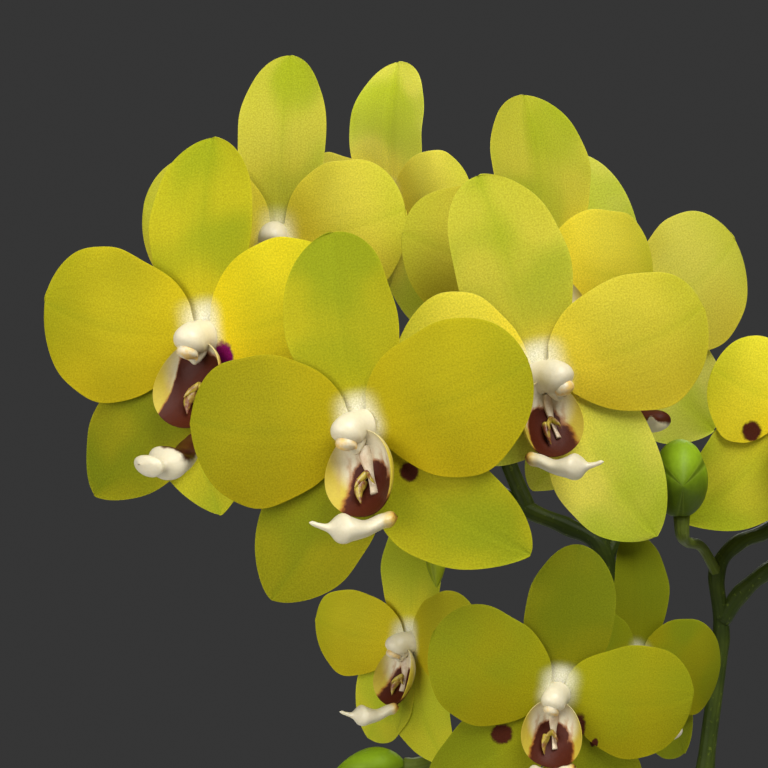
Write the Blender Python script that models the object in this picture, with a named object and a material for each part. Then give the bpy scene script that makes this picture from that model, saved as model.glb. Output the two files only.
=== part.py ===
"""Potted moth orchid with two branched flower spikes.

A plain round pot holds bark. A short crown stands on the bark and carries
strap leaves, aerial roots and two spikes. The spikes' pedicels carry flowers
and buds. Each flower is four pieces, from back to front: the whorl of three
sepals, the pair of petals, the lip and the column.

Sizes are in millimetres and degrees. The origin is the centre of the pot's
foot, +Z is up and -Y is the front. A flower's own axes are x to the right,
y to the back and z up, with the flower facing -y.
"""
import math

import bmesh
import bpy
import numpy as np
from mathutils import Euler, Vector

MM = 0.001
GAP = 0.3  # clearance between pieces that touch
UP = Vector((0.0, 0.0, 1.0))
FRONT = Vector((0.0, -1.0, 0.0))

# Pot: a tapered wall with a lip, and a closed flat foot.
POT_HEIGHT = 120.0
POT_RIM_RADIUS = 65.0
POT_FOOT_RADIUS = 46.0
POT_WALL = 4.0
POT_FLOOR = 6.0
POT_LIP_HEIGHT = 14.0
POT_LIP_PROUD = 3.0
POT_EDGE = 1.5
POT_SIDES = 32

# Bark fills the pot up to this far below the rim.
BARK_DEPTH = 16.0
BARK_DOME = 3.0
BARK_SHOULDER = 0.7   # where the flat top begins, as a share of the pot's radius

# Crown: the short stem that the leaves, roots and spikes come from.
CROWN_RADIUS = 9.0
CROWN_HEIGHT = 32.0
CROWN_TOP = ((1.0, 0.75), (0.6, 0.95))  # shares of the radius and of the height
CROWN_SIDES = 16

# Leaves: (name, azimuth, height on the crown, length, width, rise, droop).
LEAF_THICKNESS = 2.2
LEAF_BASE_WIDTH = 16.0
LEAF_CHANNEL = 0.22
LEAF_WIDEST = 0.55    # shares of the length: the widest place and the tip's start
LEAF_TIP = 0.6
LEAF_TIP_POWER = 2.4  # a high power makes a blunt tip
LEAF_GRID = (10, 5)
LEAVES = (
    ("leaf_right_low", 6.0, 6.0, 205.0, 66.0, 34.0, -28.0),
    ("leaf_left_low", 187.0, 6.0, 215.0, 68.0, 30.0, -30.0),
    ("leaf_right_high", 24.0, 15.0, 185.0, 62.0, 58.0, -8.0),
    ("leaf_left_high", 164.0, 15.0, 190.0, 64.0, 54.0, -10.0),
    ("leaf_young", 181.0, 24.0, 105.0, 44.0, 74.0, 30.0),
)

# Aerial roots: how far out, how far round and how high each point lies,
# measured from the crown's axis, the front and the bark.
ROOT_RADIUS = 3.0
ROOT_SIDES = 8
ROOT_STEP = 8.0
ROOT_OVER_RIM = ((0.0, 48.0), (10.0, 50.0), (22.0, 53.0), (33.0, 54.0))
ROOT_ON_BARK = ((0.0, -30.0), (9.0, -33.0), (20.0, -42.0), (30.0, -60.0), (34.0, -86.0))
ROOT_CLIMB = ((-9.0, 3.0), (-5.0, 10.2))  # out beyond the pot's mouth, up from lying on the bark
ROOT_CLEAR = 1.0                          # extra clearance above the rim
ROOT_HANG = ((1.5, 0.0, 1.0), (2.0, 1.0, 12.0), (0.0, 4.0, 46.0))  # out, further round, below the rim
ROOT_TAPER = 0.8

# Spikes. A path is a list of points that a smooth curve passes through.
SPIKE_SIDES = 8
SPIKE_STEP = 13.0
SPIKE_RADIUS = 3.3
FORK_RADIUS = 2.3
TWIG_RADIUS = 1.8
PEDICEL_RADIUS = 1.3
PEDICEL_SIDES = 6
PEDICEL_STEP = 7.0
PEDICEL_RUN = 9.0  # straight stretch behind each flower
BUD_RUN = 4.5      # straight stretch below each bud
SPIKE_FOOT = 9.0   # height on the crown
SPIKE_LEVEL = 4.0  # level stretch beside the crown
SPIKE_SET = 0.5    # sideways place of the foot, as a share of the first point's

LEFT_STEM = ((-1.0, 17.0, 128.0), (1.0, 18.0, 160.0), (4.0, 16.0, 210.0), (8.0, 11.0, 270.0),
             (13.0, 5.0, 318.0), (16.0, 3.0, 346.0), (13.0, 3.0, 360.0), (5.0, 4.0, 365.0),
             (-4.5, 6.0, 369.0), (-15.0, 12.0, 376.0), (-27.0, 21.0, 388.0), (-38.0, 30.0, 402.0),
             (-44.0, 35.0, 414.0), (-46.0, 38.0, 424.0))
LEFT_RISE = ((14.0, 3.0, 357.0), (19.0, 8.0, 366.0), (25.0, 20.0, 377.0), (25.0, 33.0, 390.0),
             (18.0, 39.0, 404.0))
LEFT_TWIG = ((-4.5, 6.0, 369.0), (-10.0, 9.0, 383.0), (-12.5, 10.0, 398.0), (-13.0, 8.0, 411.0))
LEFT_LOW = ((13.0, 5.0, 318.0), (5.0, 0.0, 321.0), (-5.0, -6.0, 325.0), (-13.0, -12.0, 330.0))

RIGHT_STEM = ((8.0, -17.0, 130.0), (16.0, -18.0, 165.0), (26.0, -14.0, 215.0), (34.0, -6.0, 265.0),
              (38.0, -1.0, 306.0), (42.0, 0.0, 338.0), (41.0, 0.0, 354.0), (46.0, 1.0, 361.0),
              (53.5, 3.0, 364.0), (61.0, 6.0, 370.0), (64.0, 8.0, 378.0))
RIGHT_LOW = ((42.0, 0.0, 342.0), (46.8, 0.0, 349.0), (53.5, 0.0, 354.6), (62.0, 1.0, 359.0))

# Flowers: (name, place, yaw, nod, lean, size). Yaw turns a flower to the
# viewer's right, nod turns it down and lean tips its top to the right.
FLOWERS = (
    ("c", (-44.6, -75.0, 391.0), -18.0, 0.0, -11.0, 1.03),
    ("a", (-80.5, -38.0, 410.5), -28.0, 0.0, -1.0, 1.12),
    ("b", (-65.0, -12.0, 435.0), -14.0, 0.0, 2.0, 1.02),
    ("d", (-38.0, 10.0, 442.5), -44.0, 0.0, -2.0, 0.97),
    ("e", (-5.0, -50.0, 401.5), 14.0, 0.0, -17.0, 1.09),
    ("f", (-2.5, -12.0, 427.0), 36.0, 0.0, -3.0, 1.03),
    ("g", (19.5, 24.0, 415.0), 20.0, 0.0, -15.0, 1.10),
    ("h", (57.5, -20.0, 394.0), 10.0, 0.0, 14.0, 1.0),
    ("j", (-34.0, -35.0, 341.0), -44.0, 0.0, 4.0, 0.76),
    ("k", (-3.0, -62.0, 333.0), 4.0, 8.0, 9.0, 0.80),
    ("l", (17.5, -34.0, 336.5), 36.0, 0.0, 3.0, 0.70),
)

# The five tepals of a flower of size 1. Angle is clockwise from the top,
# rise and fall shape the outline, claw is the half width at the foot, bow
# bends the midline sideways, arch and hook bend it forwards and back, cup
# lifts the edges and tilt leans the whole tepal forwards.
TEPALS = {
    "dorsal": dict(angle=0.0, length=41.0, width=24.0, rise=0.62, fall=0.52, claw=2.2,
                   bow=0.0, tilt=-3.0, arch=0.04, hook=-0.04, cup=0.10, forward=0.0),
    "petal": dict(angle=77.0, length=37.5, width=31.0, rise=0.66, fall=0.52, claw=2.6,
                  bow=0.05, tilt=4.0, arch=0.04, hook=-0.08, cup=-0.05, forward=1.4),
    "lateral": dict(angle=138.0, length=43.0, width=24.0, rise=0.62, fall=0.70, claw=1.9,
                    bow=0.05, tilt=-6.0, arch=0.05, hook=-0.03, cup=0.08, forward=0.0),
}
TEPAL_START = 2.7
TEPAL_THICKNESS = 0.9
SEPAL_GRID = (5, 3)
PETAL_GRID = (6, 4)

# What differs from TEPALS on single flowers.
VARIATIONS = {
    ("a", "petal_left"): dict(tilt=10.0),
    ("a", "petal_right"): dict(tilt=10.0),
    ("a", "lateral_left"): dict(tilt=0.0),
    ("a", "lateral_right"): dict(tilt=-2.0, angle=178.0, length=36.0),
    ("b", "dorsal"): dict(width=21.0, length=43.0),
    ("b", "petal_left"): dict(length=34.0),
    ("b", "petal_right"): dict(length=31.0),
    ("c", "petal_right"): dict(angle=81.0),
    ("d", "dorsal"): dict(width=26.0, length=39.0),
    ("d", "petal_left"): dict(length=34.0, width=28.0),
    ("d", "petal_right"): dict(length=28.0, width=26.0, angle=84.0),
    ("e", "dorsal"): dict(length=43.0),
    ("e", "petal_left"): dict(angle=64.0, length=31.0),
    ("e", "petal_right"): dict(angle=84.0, width=28.0),
    ("e", "lateral_right"): dict(angle=158.0),
    ("e", "lateral_left"): dict(angle=102.0, length=26.0, width=20.0, tilt=-14.0),
    ("f", "dorsal"): dict(width=29.0),
    ("f", "petal_right"): dict(angle=92.0, length=34.0),
    ("f", "lateral_right"): dict(length=34.0),
    ("f", "petal_left"): dict(length=41.0),
    ("g", "dorsal"): dict(width=20.0),
    ("g", "petal_right"): dict(angle=71.0, length=36.0),
    ("g", "petal_left"): dict(length=28.0),
    ("g", "lateral_right"): dict(angle=147.0, length=37.0, width=26.0),
    ("h", "petal_left"): dict(angle=80.0, length=23.5, width=25.0),
    ("h", "lateral_left"): dict(angle=148.0, length=38.0),
    ("j", "petal_left"): dict(width=26.0, angle=86.0, tilt=8.0),
    ("j", "petal_right"): dict(width=26.0, angle=70.0, length=31.0, tilt=8.0),
    ("j", "lateral_left"): dict(tilt=-4.0, length=38.0, angle=150.0),
    ("j", "lateral_right"): dict(tilt=-4.0, length=38.0, angle=158.0),
    ("k", "petal_left"): dict(angle=70.0),
    ("k", "petal_right"): dict(angle=82.0),
    ("l", "dorsal"): dict(length=42.0),
    ("l", "petal_right"): dict(angle=92.0),
}

# Lip: a tilted oval bowl with a winged, pointed midlobe at its lower edge.
LIP_THICKNESS = 1.2
LIP_HALF_WIDTH = 8.0
LIP_HALF_HEIGHT = 7.4
LIP_DROP = 10.8          # column's axis down to the bowl's centre
LIP_REACH_TOP = 3.4      # forward place of the bowl's upper and lower edge
LIP_REACH_BOTTOM = 9.5
LIP_DEPTH = 3.2
LIP_SPOKES = 12
LIP_INNER_RING = 0.6     # share of the way from the bowl's centre to its rim
MIDLOBE_ROWS = ((3.0, 8.5, -0.5), (6.5, 5.2, -2.0), (9.5, 2.6, -3.4))  # reach, half width, drop
MIDLOBE_TIP = (12.5, -5.0)                                             # reach, drop
MIDLOBE_TURN = {"c": -0.5, "a": -0.4, "j": -0.5, "e": 0.5, "b": 0.4, "k": -0.2}

# Column: the rounded rod above the lip, turned about the flower's axis.
COLUMN_SIDES = 8
COLUMN_PROFILE = ((0.0, 0.0), (2.3, 0.0), (2.0, 3.4), (2.8, 5.6), (2.6, 7.4), (1.3, 8.4), (0.0, 8.7))

# Buds: (name, spike, foot, direction, length, radius).
BUD_SIDES = 12
BUD_RINGS = 7
BUD_FULLNESS = (0.8, 0.75)  # low first power moves the fullest place up; low second power blunts it
BUDS = (
    ("bud_plump", "right", (28.5, -30.0, 369.5), (-0.08, -0.30, 0.95), 19.0, 6.5),
    ("bud_lying", "left", (-35.0, -35.0, 313.0), (-1.0, -0.08, -0.12), 17.0, 5.2),
    ("bud_small", "left", (-28.5, -54.0, 368.5), (0.0, -0.30, -0.95), 13.5, 2.5),
    ("bud_end", "right", (71.0, -3.0, 366.0), (0.70, -0.45, 0.55), 15.0, 5.4),
)

# Which branch each flower and bud hangs from: (spike, point on the branch).
PEDICELS = {
    "c": ("left", LEFT_STEM[9]), "a": ("left", LEFT_STEM[11]), "b": ("left", LEFT_STEM[11]),
    "d": ("left", LEFT_STEM[13]), "e": ("left", LEFT_RISE[1]), "f": ("left", LEFT_TWIG[3]),
    "g": ("left", LEFT_RISE[4]), "h": ("right", RIGHT_STEM[10]), "j": ("left", LEFT_LOW[3]),
    "k": ("left", LEFT_LOW[2]), "l": ("left", LEFT_LOW[0]),
    "bud_plump": ("right", RIGHT_STEM[6]), "bud_lying": ("left", LEFT_LOW[1]),
    "bud_small": ("left", LEFT_STEM[10]), "bud_end": ("right", RIGHT_LOW[3]),
}
# Extra points that a pedicel passes through on its way.
DETOURS = {
    "a": ((-64.0, -8.0, 400.0),),
    "b": ((-50.0, 12.0, 405.0),),
    "c": ((-38.0, -45.0, 389.0),),
    "e": ((8.0, -12.0, 382.0), (-3.0, -29.0, 394.0)),
    "bud_plump": ((36.0, -9.0, 361.0), (31.0, -20.0, 363.0)),
    "bud_lying": ((-12.0, -24.0, 317.0),),
    "bud_small": ((-27.0, -20.0, 382.0),),
}

# Colours: linear red, green, blue, then roughness.
FINISHES = {
    "pot": ((0.62, 0.58, 0.52), 0.35),
    "bark": ((0.10, 0.05, 0.025), 0.9),
    "crown": ((0.05, 0.12, 0.02), 0.5),
    "leaf": ((0.035, 0.11, 0.02), 0.4),
    "root": ((0.36, 0.42, 0.28), 0.7),
    "spike": ((0.03, 0.06, 0.01), 0.5),
    "bud": ((0.18, 0.30, 0.03), 0.5),
    "sepal": ((0.35, 0.38, 0.03), 0.5),
    "petal": ((0.46, 0.42, 0.03), 0.5),
    "lip": ((0.45, 0.25, 0.12), 0.4),
    "column": ((0.85, 0.80, 0.62), 0.4),
}


def clear_scene():
    for item in list(bpy.data.objects):
        bpy.data.objects.remove(item, do_unlink=True)


def finish_material(kind):
    """One Principled material for each kind of piece."""
    found = bpy.data.materials.get(kind)
    if found:
        return found
    colour, roughness = FINISHES[kind]
    material = bpy.data.materials.new(kind)
    material.use_nodes = True
    shader = material.node_tree.nodes["Principled BSDF"]
    shader.inputs["Base Color"].default_value = (*colour, 1.0)
    shader.inputs["Roughness"].default_value = roughness
    shader.inputs["Metallic"].default_value = 0.0
    return material


def add_object(name, mesh, kind, parent=None):
    mesh.materials.append(finish_material(kind))
    mesh.shade_smooth()
    mesh.set_sharp_from_angle(angle=math.radians(40.0))
    piece = bpy.data.objects.new(name, mesh)
    bpy.context.scene.collection.objects.link(piece)
    piece.parent = parent
    return piece


def close_mesh(work, name):
    """Turn a closed bmesh into a mesh whose faces point outwards."""
    bmesh.ops.recalc_face_normals(work, faces=work.faces)
    mesh = bpy.data.meshes.new(name)
    work.to_mesh(mesh)
    work.free()
    return mesh


def turned_mesh(name, profile, sides):
    """Spin a profile of (radius, height) points about the z axis."""
    work = bmesh.new()
    verts = [work.verts.new((radius * MM, 0.0, height * MM)) for radius, height in profile]
    edges = [work.edges.new(pair) for pair in zip(verts, verts[1:])]
    bmesh.ops.spin(work, geom=verts + edges, cent=(0, 0, 0), axis=(0, 0, 1),
                   angle=2.0 * math.pi, steps=sides, use_merge=True)
    bmesh.ops.remove_doubles(work, verts=work.verts, dist=1e-6)
    return close_mesh(work, name)


def smooth_path(points, step):
    """Points about one step apart on a Catmull-Rom curve through the given ones."""
    knots = [Vector(point) for point in points]
    knots = [2 * knots[0] - knots[1], *knots, 2 * knots[-1] - knots[-2]]
    path = []
    for before, start, end, after in zip(knots, knots[1:], knots[2:], knots[3:]):
        count = max(1, round((end - start).length / step))
        for index in range(count):
            t = index / count
            path.append(0.5 * (2 * start + (end - before) * t
                               + (2 * before - 5 * start + 4 * end - after) * t ** 2
                               + (3 * start - before - 3 * end + after) * t ** 3))
    path.append(knots[-2])
    return path


def tube_mesh(name, path, radii, sides):
    """Carry a ring along a path without twist, and cap both ends."""
    work = bmesh.new()
    heading = (path[1] - path[0]).normalized()
    across = heading.orthogonal().normalized()
    rings = []
    for index, point in enumerate(path):
        ahead = path[min(index + 1, len(path) - 1)] - path[max(index - 1, 0)]
        turn = heading.rotation_difference(ahead.normalized())
        heading = ahead.normalized()
        across = (turn @ across).normalized()
        over = heading.cross(across)
        rings.append([work.verts.new((point + radii[index] * (
            math.cos(2.0 * math.pi * side / sides) * across
            + math.sin(2.0 * math.pi * side / sides) * over)) * MM) for side in range(sides)])
    for low, high in zip(rings, rings[1:]):
        for side in range(sides):
            other = (side + 1) % sides
            work.faces.new((low[side], low[other], high[other], high[side]))
    work.faces.new(rings[0][::-1])
    work.faces.new(rings[-1])
    return close_mesh(work, name)


def taper(count, start, end):
    return [start + (end - start) * index / (count - 1) for index in range(count)]


def pot_radius(height):
    """Outside radius of the tapered wall at a height."""
    slope = (POT_RIM_RADIUS - POT_LIP_PROUD - POT_FOOT_RADIUS) / POT_HEIGHT
    return POT_FOOT_RADIUS + slope * height


def bark_top():
    return POT_HEIGHT - BARK_DEPTH


def build_pot():
    lip = POT_HEIGHT - POT_LIP_HEIGHT
    profile = (
        (0.0, 0.0),
        (POT_FOOT_RADIUS - POT_EDGE, 0.0),
        (pot_radius(POT_EDGE), POT_EDGE),
        (pot_radius(lip), lip),
        (POT_RIM_RADIUS, lip + POT_LIP_PROUD),
        (POT_RIM_RADIUS, POT_HEIGHT - POT_EDGE),
        (POT_RIM_RADIUS - POT_EDGE, POT_HEIGHT),
        (pot_radius(POT_HEIGHT) - POT_WALL + POT_EDGE, POT_HEIGHT),
        (pot_radius(POT_HEIGHT - POT_EDGE) - POT_WALL, POT_HEIGHT - POT_EDGE),
        (pot_radius(POT_FLOOR) - POT_WALL, POT_FLOOR),
        (0.0, POT_FLOOR),
    )
    add_object("pot", turned_mesh("pot", profile, POT_SIDES), "pot")


def build_bark():
    """Bark fills the pot, and its top rises a little towards the crown's foot."""
    low = POT_FLOOR + GAP
    inset = POT_WALL + GAP
    top = bark_top()
    profile = (
        (0.0, low),
        (pot_radius(low) - inset, low),
        (pot_radius(top - BARK_DOME) - inset, top - BARK_DOME),
        (BARK_SHOULDER * pot_radius(top), top),
        (0.0, top),
    )
    add_object("bark", turned_mesh("bark", profile, POT_SIDES), "bark")


def build_crown():
    low = bark_top() + GAP
    profile = [(0.0, low), (CROWN_RADIUS, low)]
    profile += [(share * CROWN_RADIUS, low + rise * CROWN_HEIGHT) for share, rise in CROWN_TOP]
    profile.append((0.0, low + CROWN_HEIGHT))
    add_object("crown", turned_mesh("crown", profile, CROWN_SIDES), "crown")


def grid_faces(work, grid):
    """Faces between the rows of a grid of vertices; a single vertex ends in a fan."""
    for low, high in zip(grid, grid[1:]):
        for index in range(len(low) - 1):
            if len(high) == 1:
                work.faces.new((low[index], low[index + 1], high[0]))
            else:
                work.faces.new((low[index], low[index + 1], high[index + 1], high[index]))


def add_rows(work, rows):
    """Vertices for an array of rows, where the last row is drawn into one point."""
    grid = [[work.verts.new(point * MM) for point in row] for row in rows[:-1]]
    grid.append([work.verts.new(rows[-1].mean(axis=0) * MM)])
    return grid


def sheet_mesh(work, name, towards):
    """Turn an open sheet into a mesh whose faces point towards one side."""
    bmesh.ops.recalc_face_normals(work, faces=work.faces)
    work.normal_update()
    if sum(face.calc_area() * face.normal.dot(towards) for face in work.faces) < 0.0:
        bmesh.ops.reverse_faces(work, faces=work.faces)
    mesh = bpy.data.meshes.new(name)
    work.to_mesh(mesh)
    work.free()
    return mesh


def thicken(piece, thickness):
    solid = piece.modifiers.new("thickness", "SOLIDIFY")
    solid.thickness = thickness * MM
    solid.offset = -1.0
    solid.use_even_offset = False


def leaf_rows(azimuth, height, length, width, rise, droop):
    """Rows of points on a strap leaf that starts at the crown and arches over.

    Its midline's slope falls evenly from rise to droop. The width swells from
    the foot to the middle and closes in a blunt tip, and the sides lift into
    a channel.
    """
    rows, columns = LEAF_GRID
    side = np.linspace(-1.0, 1.0, columns)[None, :]
    along = np.linspace(0.0, 1.0, rows)[:, None]
    slope = np.radians(rise + (droop - rise) * along)
    step = length / (len(along) - 1)
    out = np.vstack(([[0.0]], np.cumsum(step * np.cos(slope[:-1]), axis=0)))
    lift = np.vstack(([[0.0]], np.cumsum(step * np.sin(slope[:-1]), axis=0)))
    grown = np.sin(0.5 * np.pi * np.minimum(along / LEAF_WIDEST, 1.0))
    tip = np.clip((along - LEAF_TIP) / (1.0 - LEAF_TIP), 0.0, 1.0) ** LEAF_TIP_POWER
    half = 0.5 * (LEAF_BASE_WIDTH + (width - LEAF_BASE_WIDTH) * grown) * np.sqrt(1.0 - tip)
    across = side * half
    up = LEAF_CHANNEL * half * np.abs(side) ** 1.5 * (1.0 - 0.5 * along)
    radial = CROWN_RADIUS + GAP + LEAF_THICKNESS + out - up * np.sin(slope)
    turn = math.radians(azimuth)
    return np.stack((radial * math.cos(turn) - across * math.sin(turn),
                     radial * math.sin(turn) + across * math.cos(turn),
                     bark_top() + height + lift + up * np.cos(slope) + 0.0 * across), axis=-1)


def build_leaves():
    for name, *shape in LEAVES:
        work = bmesh.new()
        grid_faces(work, add_rows(work, leaf_rows(*shape)))
        thicken(add_object(name, sheet_mesh(work, name, UP), "leaf"), LEAF_THICKNESS)


def polar(radius, degrees_right, height):
    """A point at a radius from the crown's axis, turned right from the front."""
    turn = math.radians(degrees_right)
    return (radius * math.sin(turn), -radius * math.cos(turn), height)


def build_roots():
    rest = bark_top() + ROOT_RADIUS + GAP
    start = CROWN_RADIUS + GAP
    over = [polar(start + out, turn, rest) for out, turn in ROOT_OVER_RIM]
    turn = ROOT_OVER_RIM[-1][1]
    clear = ROOT_RADIUS + GAP
    mouth = pot_radius(POT_HEIGHT) - POT_WALL
    over += [polar(mouth + out, turn, rest + up) for out, up in ROOT_CLIMB]
    over += [polar(out, turn, POT_HEIGHT + clear + ROOT_CLEAR) for out in (mouth, POT_RIM_RADIUS)]
    over += [polar(POT_RIM_RADIUS + clear + out, turn + round_on, POT_HEIGHT - down)
             for out, round_on, down in ROOT_HANG]
    lying = [polar(start + out, turn, rest) for out, turn in ROOT_ON_BARK]
    for name, points in (("root_over_rim", over), ("root_on_bark", lying)):
        path = smooth_path(points, ROOT_STEP)
        radii = taper(len(path), ROOT_RADIUS, ROOT_TAPER * ROOT_RADIUS)
        add_object(name, tube_mesh(name, path, radii, ROOT_SIDES), "root")


def flower_turn(yaw, nod, lean):
    return Euler((math.radians(nod), math.radians(lean), math.radians(yaw)), "YXZ")


def tepal_rows(flower, part, size, grid):
    """Rows of points on one tepal, from its foot to its tip.

    The half width is claw (1-u)^3 plus u^rise (1-u)^fall scaled to the full
    width. The foot keeps the whorl's own angle, so that neighbours meet
    there, and the rest swings to the tepal's own angle.
    """
    kind, _, side = part.partition("_")
    shape = {**TEPALS[kind], **VARIATIONS.get((flower, part), {})}
    rows, columns = grid
    u = 1.0 - (1.0 - np.linspace(0.0, 1.0, rows + 1)[:, None]) ** 1.7
    v = np.linspace(-1.0, 1.0, columns + 1)[None, :]
    rise, fall = shape["rise"], shape["fall"]
    peak = rise / (rise + fall)
    outline = u ** rise * (1.0 - u) ** fall / (peak ** rise * (1.0 - peak) ** fall)
    half = shape["claw"] * (1.0 - u) ** 3 + 0.5 * shape["width"] * outline
    free = 1.0 - (1.0 - u) ** 3
    reach = shape["length"] - TEPAL_START
    x = v * half + shape["bow"] * reach * np.sin(np.pi * u)
    bend = shape["length"] * (shape["arch"] * np.sin(np.pi * u) + shape["hook"] * u ** 3)
    bend = bend + shape["cup"] * half * v ** 2 * free
    tilt = math.radians(shape["tilt"])
    out = TEPAL_START + reach * u * math.cos(tilt) - bend * math.sin(tilt)
    forward = shape["forward"] + reach * u * math.sin(tilt) + bend * math.cos(tilt)
    foot_angle = TEPALS[kind]["angle"]
    angle = np.radians(foot_angle + (shape["angle"] - foot_angle) * free)
    right = x * np.cos(angle) + out * np.sin(angle)
    up = -x * np.sin(angle) + out * np.cos(angle)
    mirror = -1.0 if side == "left" else 1.0
    return size * np.stack((mirror * right, -forward + 0.0 * right, up), axis=-1)


def whorl_mesh(name, flower, parts, size, grid):
    """One open sheet: the tepals, joined by a face at the flower's centre."""
    work = bmesh.new()
    hub = []
    for part in parts:
        rows = add_rows(work, tepal_rows(flower, part, size, grid))
        grid_faces(work, rows)
        hub += rows[0][::-1] if part.endswith("left") else rows[0]
    work.faces.new(hub)
    return sheet_mesh(work, name, FRONT)


def lip_mesh(name, flower, size):
    """The lip's upper sheet: rings of an oval bowl, then the midlobe's rows."""
    work = bmesh.new()

    def point(x, reach, up):
        return work.verts.new(Vector((x, -reach, up)) * size * MM)

    def bowl(share, spoke):
        turn = 2.0 * math.pi * spoke / LIP_SPOKES
        up = -LIP_DROP + share * LIP_HALF_HEIGHT * math.cos(turn)
        edge = (-LIP_DROP + LIP_HALF_HEIGHT - up) / (2.0 * LIP_HALF_HEIGHT)
        reach = LIP_REACH_TOP + (LIP_REACH_BOTTOM - LIP_REACH_TOP) * edge
        return point(share * LIP_HALF_WIDTH * math.sin(turn), reach - LIP_DEPTH * (1.0 - share ** 2), up)

    centre = bowl(0.0, 0)
    inner, rim = [[bowl(share, spoke) for spoke in range(LIP_SPOKES)] for share in (LIP_INNER_RING, 1.0)]
    for spoke in range(LIP_SPOKES):
        other = (spoke + 1) % LIP_SPOKES
        work.faces.new((centre, inner[other], inner[spoke]))
        work.faces.new((inner[spoke], inner[other], rim[other], rim[spoke]))
    bottom = LIP_SPOKES // 2
    low = -LIP_DROP - LIP_HALF_HEIGHT
    turn = MIDLOBE_TURN.get(flower, 0.0)
    grid = [[rim[bottom + 1], rim[bottom], rim[bottom - 1]]]
    for reach, half, drop in MIDLOBE_ROWS:
        grid.append([point(turn * reach + place * half, LIP_REACH_BOTTOM + reach, low + drop)
                     for place in (-1.0, 0.0, 1.0)])
    reach, drop = MIDLOBE_TIP
    grid.append([point(turn * reach, LIP_REACH_BOTTOM + reach, low + drop)])
    grid_faces(work, grid)
    return sheet_mesh(work, name, FRONT)


def build_flower(flower, place, yaw, nod, lean, size):
    frame = bpy.data.objects.new("flower_%s_frame" % flower, None)
    bpy.context.scene.collection.objects.link(frame)
    frame.location = Vector(place) * MM
    frame.rotation_mode = "YXZ"
    frame.rotation_euler = flower_turn(yaw, nod, lean)

    name = "flower_%s_sepals" % flower
    parts = ("dorsal", "lateral_right", "lateral_left")
    thicken(add_object(name, whorl_mesh(name, flower, parts, size, SEPAL_GRID), "sepal", frame),
            TEPAL_THICKNESS * size)

    name = "flower_%s_petals" % flower
    parts = ("petal_right", "petal_left")
    thicken(add_object(name, whorl_mesh(name, flower, parts, size, PETAL_GRID), "petal", frame),
            TEPAL_THICKNESS * size)

    name = "flower_%s_lip" % flower
    thicken(add_object(name, lip_mesh(name, flower, size), "lip", frame), LIP_THICKNESS * size)

    name = "flower_%s_column" % flower
    profile = [(radius * size, height * size) for radius, height in COLUMN_PROFILE]
    column = add_object(name, turned_mesh(name, profile, COLUMN_SIDES), "column", frame)
    column.location = Vector((0.0, -(TEPALS["petal"]["forward"] * size + GAP), 0.0)) * MM
    column.rotation_euler = (math.radians(90.0), 0.0, 0.0)


def bud_profile(length, radius):
    """A bud is fullest a third of the way up and closes in a blunt point."""
    profile = [(0.0, 0.0)]
    for ring in range(1, BUD_RINGS):
        t = ring / BUD_RINGS
        profile.append((radius * math.sin(math.pi * t ** BUD_FULLNESS[0]) ** BUD_FULLNESS[1], length * t))
    profile.append((0.0, length))
    return profile


def build_buds():
    for name, _, foot, direction, length, radius in BUDS:
        bud = add_object(name, turned_mesh(name, bud_profile(length, radius), BUD_SIDES), "bud")
        bud.location = Vector(foot) * MM
        bud.rotation_mode = "QUATERNION"
        bud.rotation_quaternion = Vector(direction).to_track_quat("Z", "Y")


def pedicel_ends():
    """Where each pedicel ends, and the direction that it arrives in."""
    ends = {}
    for flower, place, yaw, nod, lean, size in FLOWERS:
        back = flower_turn(yaw, nod, lean).to_matrix() @ Vector((0.0, 1.0, 0.0))
        ends[flower] = (Vector(place) + back * (TEPAL_THICKNESS * size + GAP), -back)
    for name, _, foot, direction, _, _ in BUDS:
        heading = Vector(direction).normalized()
        ends[name] = (Vector(foot) - GAP * heading, heading)
    return ends


def pedicel_path(name, start, end, heading):
    run = BUD_RUN if name.startswith("bud") else PEDICEL_RUN
    points = [start, *DETOURS.get(name, ()), end - run * heading, end]
    return smooth_path(points, PEDICEL_STEP)


def build_spike(side, stem, branches):
    """A spike is one solid: its stem, with every branch and pedicel united to it."""
    front = -1.0 if stem[0][1] < 0.0 else 1.0
    out = CROWN_RADIUS + GAP
    foot = bark_top() + SPIKE_FOOT
    start = stem[0][0] * SPIKE_SET
    stem = ((start, front * out, foot), (start, front * (out + SPIKE_LEVEL), foot), *stem)
    path = smooth_path(stem, SPIKE_STEP)
    radii = taper(len(path), SPIKE_RADIUS, TWIG_RADIUS)
    name = "spike_%s" % side
    spike = add_object(name, tube_mesh(name, path, radii, SPIKE_SIDES), "spike")
    tubes = []
    for points in branches:
        path = smooth_path(points, SPIKE_STEP)
        tubes.append((path, taper(len(path), FORK_RADIUS, TWIG_RADIUS), SPIKE_SIDES))
    for owner, (end, heading) in pedicel_ends().items():
        if PEDICELS[owner][0] == side:
            path = pedicel_path(owner, PEDICELS[owner][1], end, heading)
            tubes.append((path, [PEDICEL_RADIUS] * len(path), PEDICEL_SIDES))
    for index, (path, radii, sides) in enumerate(tubes):
        label = "%s_branch_%d" % (name, index)
        cutter = add_object(label, tube_mesh(label, path, radii, sides), "spike")
        cutter.hide_render = True
        cutter.display_type = "WIRE"
        union = spike.modifiers.new("union_%d" % index, "BOOLEAN")
        union.operation = "UNION"
        union.solver = "EXACT"
        union.object = cutter


def build_spikes():
    build_spike("left", LEFT_STEM, (LEFT_RISE, LEFT_TWIG, LEFT_LOW))
    build_spike("right", RIGHT_STEM, (RIGHT_LOW,))


def main():
    clear_scene()
    build_pot()
    build_bark()
    build_crown()
    build_leaves()
    build_roots()
    build_buds()
    build_spikes()
    for flower in FLOWERS:
        build_flower(*flower)


main()
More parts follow.
